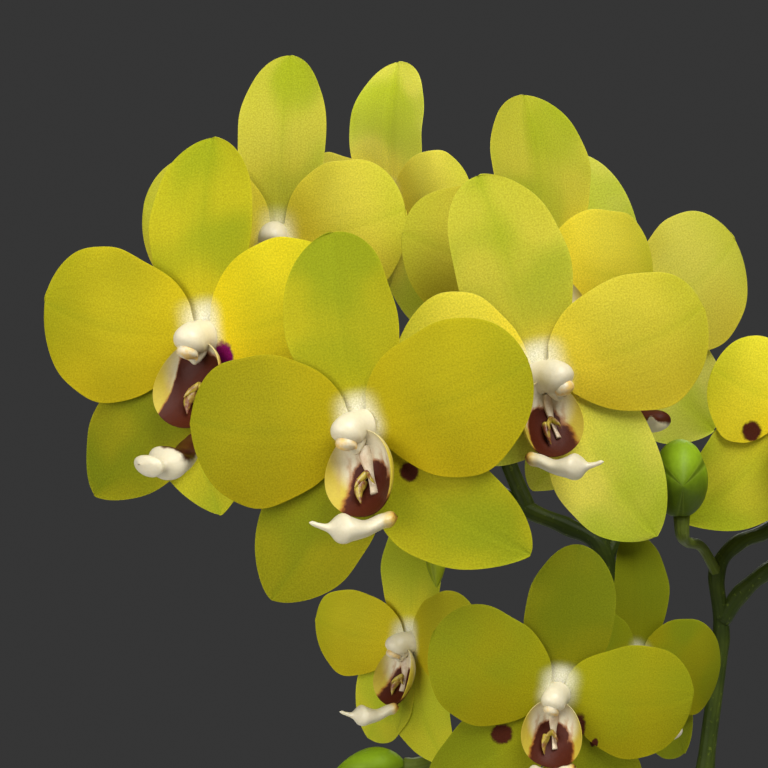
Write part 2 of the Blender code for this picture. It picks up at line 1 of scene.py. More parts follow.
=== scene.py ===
"""Looks of the potted moth orchid, laid out as a Blender add-on and run as a script.

Shapes are worked out in millimetres as arrays of points and put into meshes
in metres. A flower's own axes are x to the right, y to the back and z up,
with the flower facing -y.
"""
import math
from collections import namedtuple

import bmesh
import bpy
import numpy as np
from mathutils import Euler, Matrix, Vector


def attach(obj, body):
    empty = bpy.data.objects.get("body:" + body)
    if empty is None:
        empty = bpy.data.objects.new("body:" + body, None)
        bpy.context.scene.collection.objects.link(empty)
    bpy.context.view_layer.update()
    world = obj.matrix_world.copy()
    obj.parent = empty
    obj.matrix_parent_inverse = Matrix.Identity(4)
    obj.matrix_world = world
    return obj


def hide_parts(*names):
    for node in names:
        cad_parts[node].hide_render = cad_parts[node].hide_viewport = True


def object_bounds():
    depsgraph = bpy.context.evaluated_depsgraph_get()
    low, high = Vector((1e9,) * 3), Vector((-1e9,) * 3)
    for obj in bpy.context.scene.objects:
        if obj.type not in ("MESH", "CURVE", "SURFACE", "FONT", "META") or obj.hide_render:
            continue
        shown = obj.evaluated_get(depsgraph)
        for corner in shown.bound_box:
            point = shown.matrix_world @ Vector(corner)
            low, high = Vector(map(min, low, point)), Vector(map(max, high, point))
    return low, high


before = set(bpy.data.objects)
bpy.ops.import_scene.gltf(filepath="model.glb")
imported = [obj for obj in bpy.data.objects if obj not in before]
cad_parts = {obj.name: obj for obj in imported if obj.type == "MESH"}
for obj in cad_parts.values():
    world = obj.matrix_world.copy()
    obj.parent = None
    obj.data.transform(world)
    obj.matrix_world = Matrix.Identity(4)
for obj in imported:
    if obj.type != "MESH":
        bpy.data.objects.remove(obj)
CAD_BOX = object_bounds()

bl_info = {
    "name": "Potted Moth Orchid",
    "version": (1, 0, 0),
    "blender": (4, 5, 0),
    "location": "3D View > Sidebar > Orchid",
    "description": "Builds the flowers, buds, spikes, leaves, roots and pot of a moth orchid",
    "category": "Add Mesh",
}

MM = 0.001
BODY = "root"

# ---------------------------------------------------------------- the plant's plan

# Tone scales the tepals' brightness: partly the flower's own colour and partly painted light
# and shade, which makes the low flowers darker. Green mixes in the sepals' green, and pale adds
# blue to their yellow as painted light on flowers that light comes through from behind.
Flower = namedtuple("Flower", "label place yaw nod lean size lip_turn tone green pale")
FLOWERS = tuple(Flower(*row) for row in (
    ("c", (-44.6, -75.0, 391.0), -18.0, 0.0, -11.0, 1.03, -60.0, 0.70, 0.12, 0.000),
    ("a", (-80.5, -38.0, 410.5), -28.0, 0.0, -1.0, 1.12, -20.0, 0.84, 0.00, 0.002),
    ("b", (-65.0, -12.0, 435.0), -14.0, 0.0, 2.0, 1.02, 20.0, 0.98, 0.28, 0.030),
    ("d", (-38.0, 10.0, 442.5), -44.0, 0.0, -2.0, 0.97, -10.0, 1.28, 0.22, 0.040),
    ("e", (-5.0, -50.0, 401.5), 14.0, 0.0, -17.0, 1.09, 60.0, 0.92, 0.12, 0.026),
    ("f", (-2.5, -12.0, 427.0), 36.0, 0.0, -3.0, 1.03, 10.0, 0.98, 0.20, 0.026),
    ("g", (19.5, 24.0, 415.0), 20.0, 0.0, -15.0, 1.10, -25.0, 1.06, 0.55, 0.045),
    ("h", (57.5, -20.0, 394.0), 10.0, 0.0, 14.0, 1.0, 30.0, 1.00, 0.38, 0.010),
    ("j", (-34.0, -35.0, 341.0), -44.0, 0.0, 4.0, 0.76, -34.0, 0.84, 0.38, 0.006),
    ("k", (-3.0, -62.0, 333.0), 4.0, 8.0, 9.0, 0.80, -45.0, 0.60, 1.05, 0.000),
    ("l", (17.5, -34.0, 336.5), 36.0, 0.0, 3.0, 0.70, -40.0, 0.58, 1.45, 0.000),
))
# Lips that hang more upright than their flower (degrees) or grew smaller.
LIP_ROLLS = {"e": 17.0, "g": 16.0, "h": -8.0}
LIP_SIZES = {"e": 0.88, "g": 1.05}
# Front lobes that dip forward (degrees), are shifted (mm) or end bluntly, and their dark patches.
LOBES = {"a": dict(dip=14.0, size=1.12, right=1.2, drop=2.0, blunt=1.0), "g": dict(size=0.8, drop=1.0),
         "k": dict(swing=-38.0)}
LOBE_BLUSH = {"a": (0.60, -0.1), "g": (1.0, -0.5)}
# Throats that are dark to the top on their right side.
HOLLOW = {"a": 1.0}

# Tepals of a flower of size 1. Angle is clockwise from the top, rise and fall
# shape the outline, claw is the half width at the foot, bow bends the midline
# sideways, arch and hook bend it forwards and back, cup lifts the edges and
# tilt leans the whole tepal forwards.
TEPALS = {
    "dorsal": dict(angle=0.0, length=41.0, width=24.0, rise=0.62, fall=0.52, claw=2.2,
                   bow=0.0, tilt=-3.0, arch=0.04, hook=-0.04, cup=0.10, forward=0.0),
    "petal": dict(angle=77.0, length=37.5, width=31.0, rise=0.66, fall=0.52, claw=2.6,
                  bow=0.05, tilt=4.0, arch=0.04, hook=-0.08, cup=-0.05, forward=1.4),
    "lateral": dict(angle=138.0, length=43.0, width=24.0, rise=0.62, fall=0.70, claw=1.9,
                    bow=0.05, tilt=-6.0, arch=0.05, hook=-0.03, cup=0.08, forward=0.0),
}
TEPAL_START = 2.7
SEPALS = ("dorsal", "lateral_right", "lateral_left")
PETALS = ("petal_right", "petal_left")
VARIATIONS = {
    ("a", "petal_left"): dict(tilt=10.0),
    ("a", "petal_right"): dict(tilt=10.0),
    ("a", "lateral_left"): dict(tilt=0.0),
    ("a", "lateral_right"): dict(tilt=-2.0, angle=178.0, length=36.0),
    ("b", "dorsal"): dict(width=21.0, length=43.0),
    ("b", "petal_left"): dict(length=34.0),
    ("b", "petal_right"): dict(length=31.0),
    ("c", "petal_right"): dict(angle=81.0),
    ("d", "dorsal"): dict(width=26.0, length=39.0),
    ("d", "petal_left"): dict(length=34.0, width=28.0),
    ("d", "petal_right"): dict(length=28.0, width=26.0, angle=84.0),
    ("e", "dorsal"): dict(length=43.0),
    ("e", "petal_left"): dict(angle=64.0, length=31.0),
    ("e", "petal_right"): dict(angle=84.0, width=28.0),
    ("e", "lateral_right"): dict(angle=158.0),
    ("e", "lateral_left"): dict(angle=102.0, length=26.0, width=20.0, tilt=-14.0),
    ("f", "dorsal"): dict(width=29.0),
    ("f", "petal_right"): dict(angle=92.0, length=34.0),
    ("f", "lateral_right"): dict(length=34.0),
    ("f", "petal_left"): dict(length=41.0),
    ("g", "dorsal"): dict(width=20.0),
    ("g", "petal_right"): dict(angle=71.0, length=36.0),
    ("g", "petal_left"): dict(length=28.0),
    ("g", "lateral_right"): dict(angle=147.0, length=37.0, width=26.0),
    ("h", "petal_left"): dict(angle=80.0, length=23.5, width=25.0),
    ("h", "lateral_left"): dict(angle=148.0, length=38.0),
    ("j", "petal_left"): dict(width=26.0, angle=86.0, tilt=8.0),
    ("j", "petal_right"): dict(width=26.0, angle=70.0, length=31.0, tilt=8.0),
    ("j", "lateral_left"): dict(tilt=-4.0, length=38.0, angle=150.0),
    ("j", "lateral_right"): dict(tilt=-4.0, length=38.0, angle=158.0),
    ("k", "petal_left"): dict(angle=70.0),
    ("k", "petal_right"): dict(angle=82.0),
    ("l", "dorsal"): dict(length=42.0),
    ("l", "petal_right"): dict(angle=92.0),
}
# Tepals that light comes through (above 0) or that lie in shade (below 0).
SHADES = {
    "c": dict(dorsal=0.02, petal_left=-0.24, petal_right=-0.10, lateral_left=-0.30, lateral_right=0.05),
    "a": dict(petal_left=-0.15, petal_right=0.29, lateral_left=-0.56, lateral_right=0.28),
    "b": dict(dorsal=-0.08, petal_right=0.10),
    "d": dict(dorsal=0.13),
    "e": dict(petal_left=0.30, petal_right=0.08, lateral_left=0.25, lateral_right=0.42),
    "f": dict(dorsal=-0.06, petal_left=-0.12, petal_right=0.22),
    "g": dict(dorsal=0.10, petal_right=0.06, lateral_right=0.20),
    "h": dict(petal_left=0.22),
    "j": dict(dorsal=0.36, petal_left=0.10, petal_right=-0.14, lateral_left=0.26, lateral_right=0.20),
    "k": dict(dorsal=-0.48, petal_right=0.10),
    "l": dict(dorsal=-0.28),
}
# Spots in a flower's own plane: (right, up, radius across, radius along, on the petals too).
SPOTS = {
    "c": ((8.3, -10.8, 2.0, 2.0, False),),
    "a": ((5.4, -4.6, 3.0, 3.6, True),),
    "h": ((-11.0, -7.9, 2.4, 2.4, True),),
    "k": ((-12.5, -13.0, 3.0, 2.9, False), (7.4, -8.6, 2.0, 4.8, True), (12.6, -11.4, 0.9, 1.5, True)),
}

SPIKE_RADIUS = 3.3
FORK_RADIUS = 2.3
TWIG_RADIUS = 1.8
PEDICEL_RADIUS = 1.3
# Straight last stretch of a pedicel, and the height below which joints carry bracts.
FLOWER_PEDICEL_END = 9.0
BUD_PEDICEL_END = 4.5
BRACTS_BELOW = 300.0
LEFT_STEM = ((-0.5, 9.3, 113.3), (-0.5, 13.3, 113.3), (-1.0, 17.0, 128.0), (1.0, 18.0, 160.0),
             (4.0, 16.0, 210.0), (8.0, 11.0, 270.0), (13.0, 5.0, 318.0), (16.0, 3.0, 346.0),
             (13.0, 3.0, 360.0), (5.0, 4.0, 365.0), (-4.5, 6.0, 369.0), (-15.0, 12.0, 376.0),
             (-27.0, 21.0, 388.0), (-38.0, 30.0, 402.0), (-44.0, 35.0, 414.0), (-46.0, 38.0, 424.0))
LEFT_RISE = ((14.0, 3.0, 357.0), (19.0, 8.0, 366.0), (25.0, 20.0, 377.0), (25.0, 33.0, 390.0),
             (18.0, 39.0, 404.0))
LEFT_TWIG = ((-4.5, 6.0, 369.0), (-10.0, 9.0, 383.0), (-12.5, 10.0, 398.0), (-13.0, 8.0, 411.0))
LEFT_LOW = ((13.0, 5.0, 318.0), (5.0, 0.0, 321.0), (-5.0, -6.0, 325.0), (-13.0, -12.0, 330.0))
RIGHT_STEM = ((4.0, -9.3, 113.3), (4.0, -13.3, 113.3), (8.0, -17.0, 130.0), (16.0, -18.0, 165.0),
              (26.0, -14.0, 215.0), (34.0, -6.0, 265.0), (38.0, -1.0, 306.0), (42.0, 0.0, 338.0),
              (41.0, 0.0, 354.0), (46.0, 1.0, 361.0), (53.5, 3.0, 364.0), (61.0, 6.0, 370.0),
              (64.0, 8.0, 378.0))
RIGHT_LOW = ((42.0, 0.0, 342.0), (46.8, 0.0, 349.0), (53.5, 0.0, 354.6), (62.0, 1.0, 359.0))
PEDICELS = {
    "spike_left": {"c": LEFT_STEM[11], "a": LEFT_STEM[13], "b": LEFT_STEM[13], "d": LEFT_STEM[15],
                   "e": LEFT_RISE[1], "f": LEFT_TWIG[3], "g": LEFT_RISE[4], "j": LEFT_LOW[3],
                   "k": LEFT_LOW[2], "l": LEFT_LOW[0], "bud_lying": LEFT_LOW[1],
                   "bud_small": LEFT_STEM[12]},
    "spike_right": {"h": RIGHT_STEM[12], "bud_plump": RIGHT_STEM[8], "bud_end": RIGHT_LOW[3]},
}
DETOURS = {
    "a": ((-64.0, -8.0, 400.0),),
    "b": ((-50.0, 12.0, 405.0),),
    "c": ((-38.0, -45.0, 389.0),),
    "e": ((8.0, -12.0, 382.0), (-3.0, -29.0, 394.0)),
    "bud_plump": ((36.0, -9.0, 361.0), (31.0, -20.0, 363.0)),
    "bud_lying": ((-12.0, -24.0, 317.0),),
    "bud_small": ((-27.0, -20.0, 382.0),),
}
# Buds: (name, foot, direction, length, radius).
BUDS = (
    ("bud_plump", (28.5, -30.0, 369.5), (-0.08, -0.30, 0.95), 19.0, 6.5),
    ("bud_lying", (-35.0, -35.0, 313.0), (-1.0, -0.08, -0.12), 17.0, 5.2),
    ("bud_small", (-28.5, -54.0, 368.5), (0.0, -0.30, -0.95), 13.5, 2.5),
    ("bud_end", (71.0, -3.0, 366.0), (0.70, -0.45, 0.55), 15.0, 5.4),
)

# Buds whose tip nods forward: (tip's direction, depth, height to width, turn of the seams).
NODDING = {"bud_plump": ((-0.04, -0.97, -0.16), 14.0, 1.42, 30.0)}

POT_HEIGHT = 120.0
POT_RIM_RADIUS = 65.0
POT_FOOT_RADIUS = 46.0
POT_WALL = 4.0
POT_FLOOR = 6.0
POT_EDGE = 1.5
POT_LIP = 11.0
POT_LIP_STEP = 3.0
BARK_TOP = 104.0
BED_TOP = BARK_TOP - 3.0
BED_GAP = 0.3
CROWN_RADIUS = 9.0
# Leaves: (name, azimuth, height on the crown, length, width, rise, droop).
LEAVES = (
    ("leaf_right_low", 6.0, 6.0, 205.0, 66.0, 34.0, -28.0),
    ("leaf_left_low", 187.0, 6.0, 215.0, 68.0, 30.0, -30.0),
    ("leaf_right_high", 24.0, 15.0, 185.0, 62.0, 58.0, -8.0),
    ("leaf_left_high", 164.0, 15.0, 190.0, 64.0, 54.0, -10.0),
    ("leaf_young", 181.0, 24.0, 105.0, 44.0, 74.0, 30.0),
)
# Roots: (name, points), each point a distance from the crown's axis, a turn
# from the front in degrees and a height.
ROOTS = (
    ("root_over_rim", ((9.3, 48.0, 107.3), (19.3, 50.0, 107.3), (31.3, 53.0, 107.3),
                       (42.3, 54.0, 107.3), (49.0, 54.0, 110.3), (53.0, 54.0, 117.5),
                       (58.0, 54.0, 124.3), (65.0, 54.0, 124.3), (69.8, 54.0, 119.0),
                       (70.3, 55.0, 108.0), (68.3, 58.0, 74.0))),
    ("root_on_bark", ((9.3, -30.0, 107.3), (18.3, -33.0, 107.3), (29.3, -42.0, 107.3),
                      (39.3, -60.0, 107.3), (43.3, -86.0, 107.3))),
)
ROOT_RADIUS = 3.0

# The stage, in metres. Lights: (name, place, size, share of the key's or the fill's power).
FLOOR_RADIUS = 1.25
LIGHT_AIM = (-0.02, -0.03, 0.38)
LIGHTS = (
    ("key", (0.24, -0.62, 1.10), 0.75, 1.0),
    ("fill", (-0.70, -0.78, 0.55), 0.90, 1.0),
    ("rim", (0.10, 0.55, 0.90), 0.60, 0.5),
)
CAMERA_PLACE = (-0.040, -0.555, 0.400)
CAMERA_LENS = 106.9
CAMERA_SENSOR = 36.0


# ---------------------------------------------------------------- shapes as arrays

def unit(vectors):
    return vectors / np.maximum(np.linalg.norm(vectors, axis=-1, keepdims=True), 1e-12)


def shares(count):
    """Evenly spaced values from 0 to 1."""
    return np.linspace(0.0, 1.0, count)


def round_angles(count):
    """A row of evenly spaced angles of a whole turn."""
    return np.linspace(0.0, 2.0 * np.pi, count, endpoint=False)[None, :]


def grid_quads(rows, columns, closed=False):
    """Four corner numbers for each cell of a grid of points, row by row.

    With closed set, the last column joins the first.
    """
    index = np.arange(rows * columns).reshape(rows, columns)
    after = np.roll(index, -1, axis=1)
    if not closed:
        index, after = index[:, :-1], after[:, :-1]
    return np.stack((index[:-1], after[:-1], after[1:], index[1:]), axis=-1).reshape(-1, 4)


def facing_out(points, quads):
    """Turn the quads round if the volume that they enclose comes out negative."""
    a, b, c, d = (points[quads[:, corner]] for corner in range(4))
    volume = (a * (np.cross(b, c) + np.cross(c, d))).sum()
    return quads if volume > 0.0 else quads[:, ::-1]


class Shell:
    """A closed surface: points in mm, quads, fields for the shader and a material."""

    def __init__(self, points, quads, material, **fields):
        self.points = points.reshape(-1, 3)
        self.quads = facing_out(self.points, quads)
        self.material = material
        self.fields = fields

    def moved(self, turn, place):
        """The shell after p -> turn p + place."""
        shell = Shell.__new__(Shell)
        shell.points = self.points @ np.asarray(turn).T + np.asarray(place)
        shell.quads = self.quads
        shell.material = self.material
        shell.fields = self.fields
        return shell


def across_grid(front):
    """A vector square to the surface at each point of a grid."""
    return np.cross(np.gradient(front, axis=0), np.gradient(front, axis=1))


def backed(front, thickness, behind):
    """The thickness, signed so that the sheet's back lies in the direction behind."""
    return thickness if (across_grid(front) @ np.array(behind)).sum() < 0.0 else -thickness


def sheet_shell(front, thickness, material, **fields):
    """Close a grid of points into a leaf of the given thickness.

    The back is the front moved against its normal by the thickness, which is
    nothing along the border, so that front and back meet there.
    """
    rows, columns = front.shape[:2]
    back = front - unit(across_grid(front)) * thickness[..., None]
    quads = grid_quads(rows, columns)
    points = np.concatenate((front.reshape(-1, 3), back.reshape(-1, 3)))
    both = {}
    for name, value in fields.items():
        flat = value.reshape((-1,) + value.shape[2:])
        both[name] = np.concatenate((flat, flat))
    quads = np.concatenate((quads, quads[:, ::-1] + rows * columns))
    return Shell(points, quads, material, **both)


def border_fade(u, v, u_power, v_power):
    """Nothing at the ends of u in 0..1 and v in -1..1, and close to 1 elsewhere."""
    lengthways = np.clip(1.0 - np.abs(2.0 * u - 1.0) ** u_power, 0.0, 1.0)
    crossways = np.clip(1.0 - np.abs(v) ** v_power, 0.0, 1.0)
    return np.sqrt(lengthways * crossways)


def smooth_path(points, step):
    """Points about one step apart on a Catmull-Rom curve through the given ones."""
    knots = np.asarray(points, float)
    knots = np.vstack((2 * knots[0] - knots[1], knots, 2 * knots[-1] - knots[-2]))
    counts = np.maximum(1, np.rint(np.linalg.norm(np.diff(knots[1:-1], axis=0), axis=1) / step)).astype(int)
    part = np.repeat(np.arange(len(counts)), counts)
    t = np.concatenate([np.arange(count) / count for count in counts])[:, None]
    before, start, end, after = (knots[part + offset] for offset in range(4))
    path = 0.5 * (2 * start + (end - before) * t + (2 * before - 5 * start + 4 * end - after) * t ** 2
                  + (3 * start - before - 3 * end + after) * t ** 3)
    return np.vstack((path, knots[-2]))


def path_frames(path):
    """Unit tangent and two unit normals at each point of a path.

    The normals are crossed with the one axis that the path is least along.
    """
    tangent = unit(np.gradient(path, axis=0))
    choices = np.vstack((np.eye(3), unit(np.array([[1.0, 1.0, 0.0], [1.0, -1.0, 0.0], [0.0, 1.0, 1.0]]))))
    guide = choices[np.argmin(np.abs(tangent @ choices.T).max(axis=0))]
    side = unit(np.cross(tangent, guide))
    return tangent, side, np.cross(tangent, side)


def sweep_shell(path, radius, sides, material, ribs=0.0, flat=1.0):
    """Carry a ring along a path; both ends are drawn into a point.

    The ring's radius may have six ribs: r (1 + ribs cos(6 angle)).
    """
    radius = np.broadcast_to(radius, len(path)).astype(float)
    path = np.vstack((path[0], path, path[-1]))
    radius = np.concatenate(([0.0], radius, [0.0]))
    _, side, over = path_frames(path + np.linspace(0.0, 1e-4, len(path))[:, None])
    side[0], over[0], side[-1], over[-1] = side[1], over[1], side[-2], over[-2]
    angle = round_angles(sides)[..., None]
    ring = radius[:, None, None] * (1.0 + ribs * np.cos(6.0 * angle))
    points = path[:, None] + ring * (np.cos(angle) * side[:, None] + flat * np.sin(angle) * over[:, None])
    run = np.concatenate(([0.0], np.cumsum(np.linalg.norm(np.diff(path, axis=0), axis=1))))
    along = np.repeat(run / max(run[-1], 1e-9), sides)
    around = np.tile(np.linspace(0.0, 1.0, sides, endpoint=False), len(path))
    return Shell(points, grid_quads(len(path), sides, closed=True), material,
                 along=along, around=around, run=np.repeat(run, sides))


def turned_shell(profile, sides, material):
    """Turn a profile of (radius, height) points, which starts and ends on the axis, about z."""
    radius, height = np.asarray(profile, float).T[:, :, None]
    angle = round_angles(sides)
    points = np.stack((radius * np.cos(angle), radius * np.sin(angle), height + 0.0 * angle), axis=-1)
    rise = (height - height.min()) / max(np.ptp(height), 1e-9)
    return Shell(points, grid_quads(len(profile), sides, closed=True), material,
                 along=(rise + 0.0 * angle).ravel(), around=(angle / (2.0 * np.pi) + 0.0 * rise).ravel())


def rounded_profile(corners, steps=6):
    """A profile whose inner corners (radius, height, rounding) become arcs.

    Each arc is the quadratic curve from one rounding length before the corner
    to one after it.
    """
    points = [corners[0][:2]]
    for before, corner, after in zip(corners, corners[1:], corners[2:]):
        middle, size = np.array(corner[:2]), corner[2]
        start = middle + unit(np.array(before[:2]) - middle) * size
        end = middle + unit(np.array(after[:2]) - middle) * size
        t = shares(steps)[:, None]
        points += list((1 - t) ** 2 * start + 2 * t * (1 - t) * middle + t ** 2 * end)
    points.append(corners[-1][:2])
    return points


def build_piece(name, shells, replaces):
    """Put shells into one mesh, merge their seams and poles, and fix it to the plant's frame."""
    offsets = np.cumsum([0] + [len(shell.points) for shell in shells[:-1]])
    points = np.concatenate([shell.points for shell in shells]) * MM
    quads = np.concatenate([shell.quads + offset for shell, offset in zip(shells, offsets)])
    materials = list(dict.fromkeys(shell.material for shell in shells))
    numbers = np.repeat([materials.index(shell.material) for shell in shells],
                        [len(shell.quads) for shell in shells])
    mesh = bpy.data.meshes.new(name)
    mesh.vertices.add(len(points))
    mesh.loops.add(quads.size)
    mesh.polygons.add(len(quads))
    mesh.vertices.foreach_set("co", points.astype(np.float32).ravel())
    mesh.loops.foreach_set("vertex_index", quads.astype(np.int32).ravel())
    mesh.polygons.foreach_set("loop_start", np.arange(0, quads.size, 4, dtype=np.int32))
    mesh.update(calc_edges=True)
    for material in materials:
        mesh.materials.append(material)
    mesh.polygons.foreach_set("material_index", numbers.astype(np.int32))
    for field in sorted({field for shell in shells for field in shell.fields}):
        width = max(np.ndim(shell.fields[field]) for shell in shells if field in shell.fields)
        values = np.concatenate([shell.fields.get(field, np.zeros((len(shell.points), 3)[:width]))
                                 for shell in shells])
        kind, entry = ("FLOAT", "value") if width == 1 else ("FLOAT_VECTOR", "vector")
        layer = mesh.attributes.new(field, kind, "POINT")
        layer.data.foreach_set(entry, values.astype(np.float32).ravel())
    work = bmesh.new()
    work.from_mesh(mesh)
    bmesh.ops.remove_doubles(work, verts=work.verts, dist=2e-6)
    bmesh.ops.dissolve_degenerate(work, dist=1e-7, edges=work.edges)
    work.to_mesh(mesh)
    work.free()
    mesh.validate()
    mesh.shade_smooth()
    piece = bpy.data.objects.new(name, mesh)
    bpy.context.scene.collection.objects.link(piece)
    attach(piece, BODY)
    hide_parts(*replaces)
    return piece


def turning(x=0.0, y=0.0, z=0.0, order="XYZ"):
    """The matrix of a turn by so many degrees about each axis."""
    return np.array(Euler([math.radians(angle) for angle in (x, y, z)], order).to_matrix())


def flower_turn(flower):
    return turning(flower.nod, flower.lean, flower.yaw, "YXZ")


# ---------------------------------------------------------------- shader kit

class Value:
    """A node's output, with arithmetic that adds Math nodes."""

    def __init__(self, finish, socket):
        self.finish = finish
        self.socket = socket

    def math(self, operation, *others):
        return self.finish.node("ShaderNodeMath", {"operation": operation}, self, *others)

    def __add__(self, other):
        return self.math("ADD", other)

    def __mul__(self, other):
        return self.math("MULTIPLY", other)

    def __sub__(self, other):
        return self.math("SUBTRACT", other)

    def __rsub__(self, other):
        return self.finish.node("ShaderNodeMath", {"operation": "SUBTRACT"}, other, self)

    def __truediv__(self, other):
        return self.math("DIVIDE", other)

    def __pow__(self, other):
        return self.math("POWER", other)

    def __abs__(self):
        return self.math("ABSOLUTE")

    __radd__ = __add__
    __rmul__ = __mul__

    def wave(self):
        """A sine wave that runs between 0 and 1."""
        return self.math("SINE") * 0.5 + 0.5

    def step(self, low, high):
        """0 at low and 1 at high, smooth between; low may be above high."""
        return self.finish.node("ShaderNodeMapRange", {"interpolation_type": "SMOOTHSTEP"},
                                Value=self, From_Min=low, From_Max=high)


class Finish:
    """One material and the nodes that it is made of.

    Flesh, if given, is how much light enters the surface, how far its red,
    green and blue go, and the scale of that distance in metres.
    """

    def __init__(self, name, roughness=0.5, flesh=None, **constants):
        self.material = bpy.data.materials.new(name)
        self.material.use_nodes = True
        self.tree = self.material.node_tree
        self.shader = self.tree.nodes["Principled BSDF"]
        self.set(Roughness=roughness, **constants)
        if flesh:
            weight, reach, scale = flesh
            self.set(Subsurface_Weight=weight, Subsurface_Radius=reach, Subsurface_Scale=scale)

    def set(self, **inputs):
        for name, value in inputs.items():
            self.connect(value, self.shader.inputs[name.replace("_", " ")])

    def connect(self, value, socket):
        if isinstance(value, Value):
            self.tree.links.new(value.socket, socket)
        elif socket.type == "RGBA":
            socket.default_value = (*value, 1.0)
        else:
            socket.default_value = value

    def node(self, kind, settings, *ordered, output=0, **named):
        node = self.tree.nodes.new(kind)
        for name, value in settings.items():
            setattr(node, name, value)
        for index, value in enumerate(ordered):
            self.connect(value, node.inputs[index])
        for name, value in named.items():
            self.connect(value, node.inputs[name.replace("_", " ")])
        return Value(self, node.outputs[output])

    def fields(self, *names):
        """Numbers stored on the mesh."""
        return [self.node("ShaderNodeAttribute", {"attribute_name": name}, output=2) for name in names]

    def own_place(self):
        """The place that is stored on the mesh."""
        return self.node("ShaderNodeAttribute", {"attribute_name": "place"}, output=1)

    def object_place(self):
        return self.node("ShaderNodeTexCoord", {}, output=3)

    def parts(self, vector):
        node = self.tree.nodes.new("ShaderNodeSeparateXYZ")
        self.tree.links.new(vector.socket, node.inputs[0])
        return [Value(self, output) for output in node.outputs]

    def noise(self, place, scale, detail, roughness=0.55):
        return self.node("ShaderNodeTexNoise", {}, Vector=place, Scale=scale, Detail=detail,
                         Roughness=roughness)

    def noises(self, *kinds):
        """Noise at the object's own places, one for each (scale, detail)."""
        place = self.object_place()
        return [self.noise(place, scale, detail) for scale, detail in kinds]

    def blend(self, mask, low, high, kind="MIX"):
        """Low where the mask is 0 and high where it is 1."""
        node = self.tree.nodes.new("ShaderNodeMix")
        node.data_type = "RGBA"
        node.blend_type = kind
        node.clamp_factor = True
        for socket, value in ((node.inputs[0], mask), (node.inputs[6], low), (node.inputs[7], high)):
            self.connect(value, socket)
        return Value(self, node.outputs[2])

    def tinted(self, mask, colour, tint):
        """The colour times the tint, by as much as the mask says."""
        return self.blend(mask, colour, tint, kind="MULTIPLY")

    def grained(self, colour, grain, low, high):
        """The colour times low where the grain is 0 and times high where it is 1."""
        return self.tinted(1.0, colour, self.blend(grain, low, high))

    def finished(self, colour, height, depth, **inputs):
        """Connect the colour and a bump of depth mm for a height of 1, and hand the material over."""
        normal = self.node("ShaderNodeBump", {}, Height=height, Distance=depth * MM, Strength=1.0)
        self.set(Base_Color=colour, Normal=normal, **inputs)
        return self.material


def settings():
    return bpy.context.scene.orchid


def mixed(first, second, share):
    return tuple(a + (b - a) * share for a, b in zip(first, second))


def scaled(colour, factor):
    return tuple(min(1.0, channel * factor) for channel in colour)


def grey(level):
    return (level, level, level)


def colour_property(name, description, default):
    return bpy.props.FloatVectorProperty(name=name, description=description, default=default,
                                         subtype="COLOR", size=3, min=0.0, max=1.0)


def number_property(name, description, default, most, least=0.0):
    return bpy.props.FloatProperty(name=name, description=description, default=default, min=least, max=most)


# ---------------------------------------------------------------- user settings

class OrchidSettings(bpy.types.PropertyGroup):
    """Sizes and colours of the orchid."""

    petal_colour: colour_property("Petal colour", "Middle of a petal", (0.545, 0.462, 0.0100))
    petal_deep: colour_property("Petal shade", "Darker patches of a petal", (0.42, 0.375, 0.008))
    sepal_colour: colour_property("Sepal colour", "Middle of a sepal", (0.505, 0.445, 0.0110))
    sepal_green: colour_property("Sepal green", "Tip and midrib of a sepal", (0.300, 0.345, 0.010))
    heart_colour: colour_property("Heart", "Pale glow round the column", (0.84, 0.80, 0.60))
    spot_colour: colour_property("Spots", "Dark spots on the tepals", (0.058, 0.013, 0.006))
    purple_colour: colour_property("Purple spot", "Fresh spot beside the lip", (0.17, 0.004, 0.075))
    throat_colour: colour_property("Throat", "Dark patch inside the lip", (0.060, 0.010, 0.003))
    flame_colour: colour_property("Flame", "Edge of the lip's dark patch", (0.27, 0.075, 0.010))
    cream_colour: colour_property("Cream", "Column and pale parts of the lip", (0.70, 0.63, 0.45))
    cap_colour: colour_property("Anther cap", "Tip of the column", (0.74, 0.48, 0.13))
    tepal_thickness: number_property("Tepal thickness", "Thickest place of a petal, mm", 0.8, 2.0, 0.2)
    margin_wave: number_property("Margin wave", "Height of the waves along a petal's edge, mm", 0.55, 3.0)
    bud_colour: colour_property("Bud colour", "Sunny side of a bud", (0.215, 0.340, 0.010))
    # Bud shade is painted shade on the low side of a bud and in its seams.
    bud_painted_shade: colour_property("Bud shade", "Foot and seams of a bud", (0.066, 0.105, 0.003))
    spike_colour: colour_property("Spike colour", "Flower stalks", (0.034, 0.052, 0.008))
    spike_light: colour_property("Spike highlight", "Young twigs and pedicels", (0.125, 0.160, 0.018))
    leaf_colour: colour_property("Leaf colour", "Skin of a leaf", (0.030, 0.090, 0.016))
    leaf_light: colour_property("Leaf veins", "Midrib and foot of a leaf", (0.10, 0.20, 0.04))
    root_colour: colour_property("Root colour", "Silvery skin of the roots", (0.40, 0.44, 0.33))
    bark_colour: colour_property("Bark colour", "Bark chips", (0.115, 0.055, 0.026))
    pot_colour: colour_property("Pot colour", "Glaze of the pot", (0.66, 0.62, 0.56))
    chip_count: bpy.props.IntProperty(name="Bark chips", description="Loose chips on the bark",
                                      default=260, min=0, max=900)
    floor_colour: colour_property("Floor colour", "The floor under the pot", (0.62, 0.61, 0.59))
    key_power: number_property("Key light", "Power of the large soft light, watts", 12.5, 200.0)
    fill_power: number_property("Fill light", "Power of the fill light, watts", 8.0, 200.0)
    backdrop: number_property("Backdrop", "Brightness of the surroundings", 0.0365, 1.0)


# ---------------------------------------------------------------- finishes

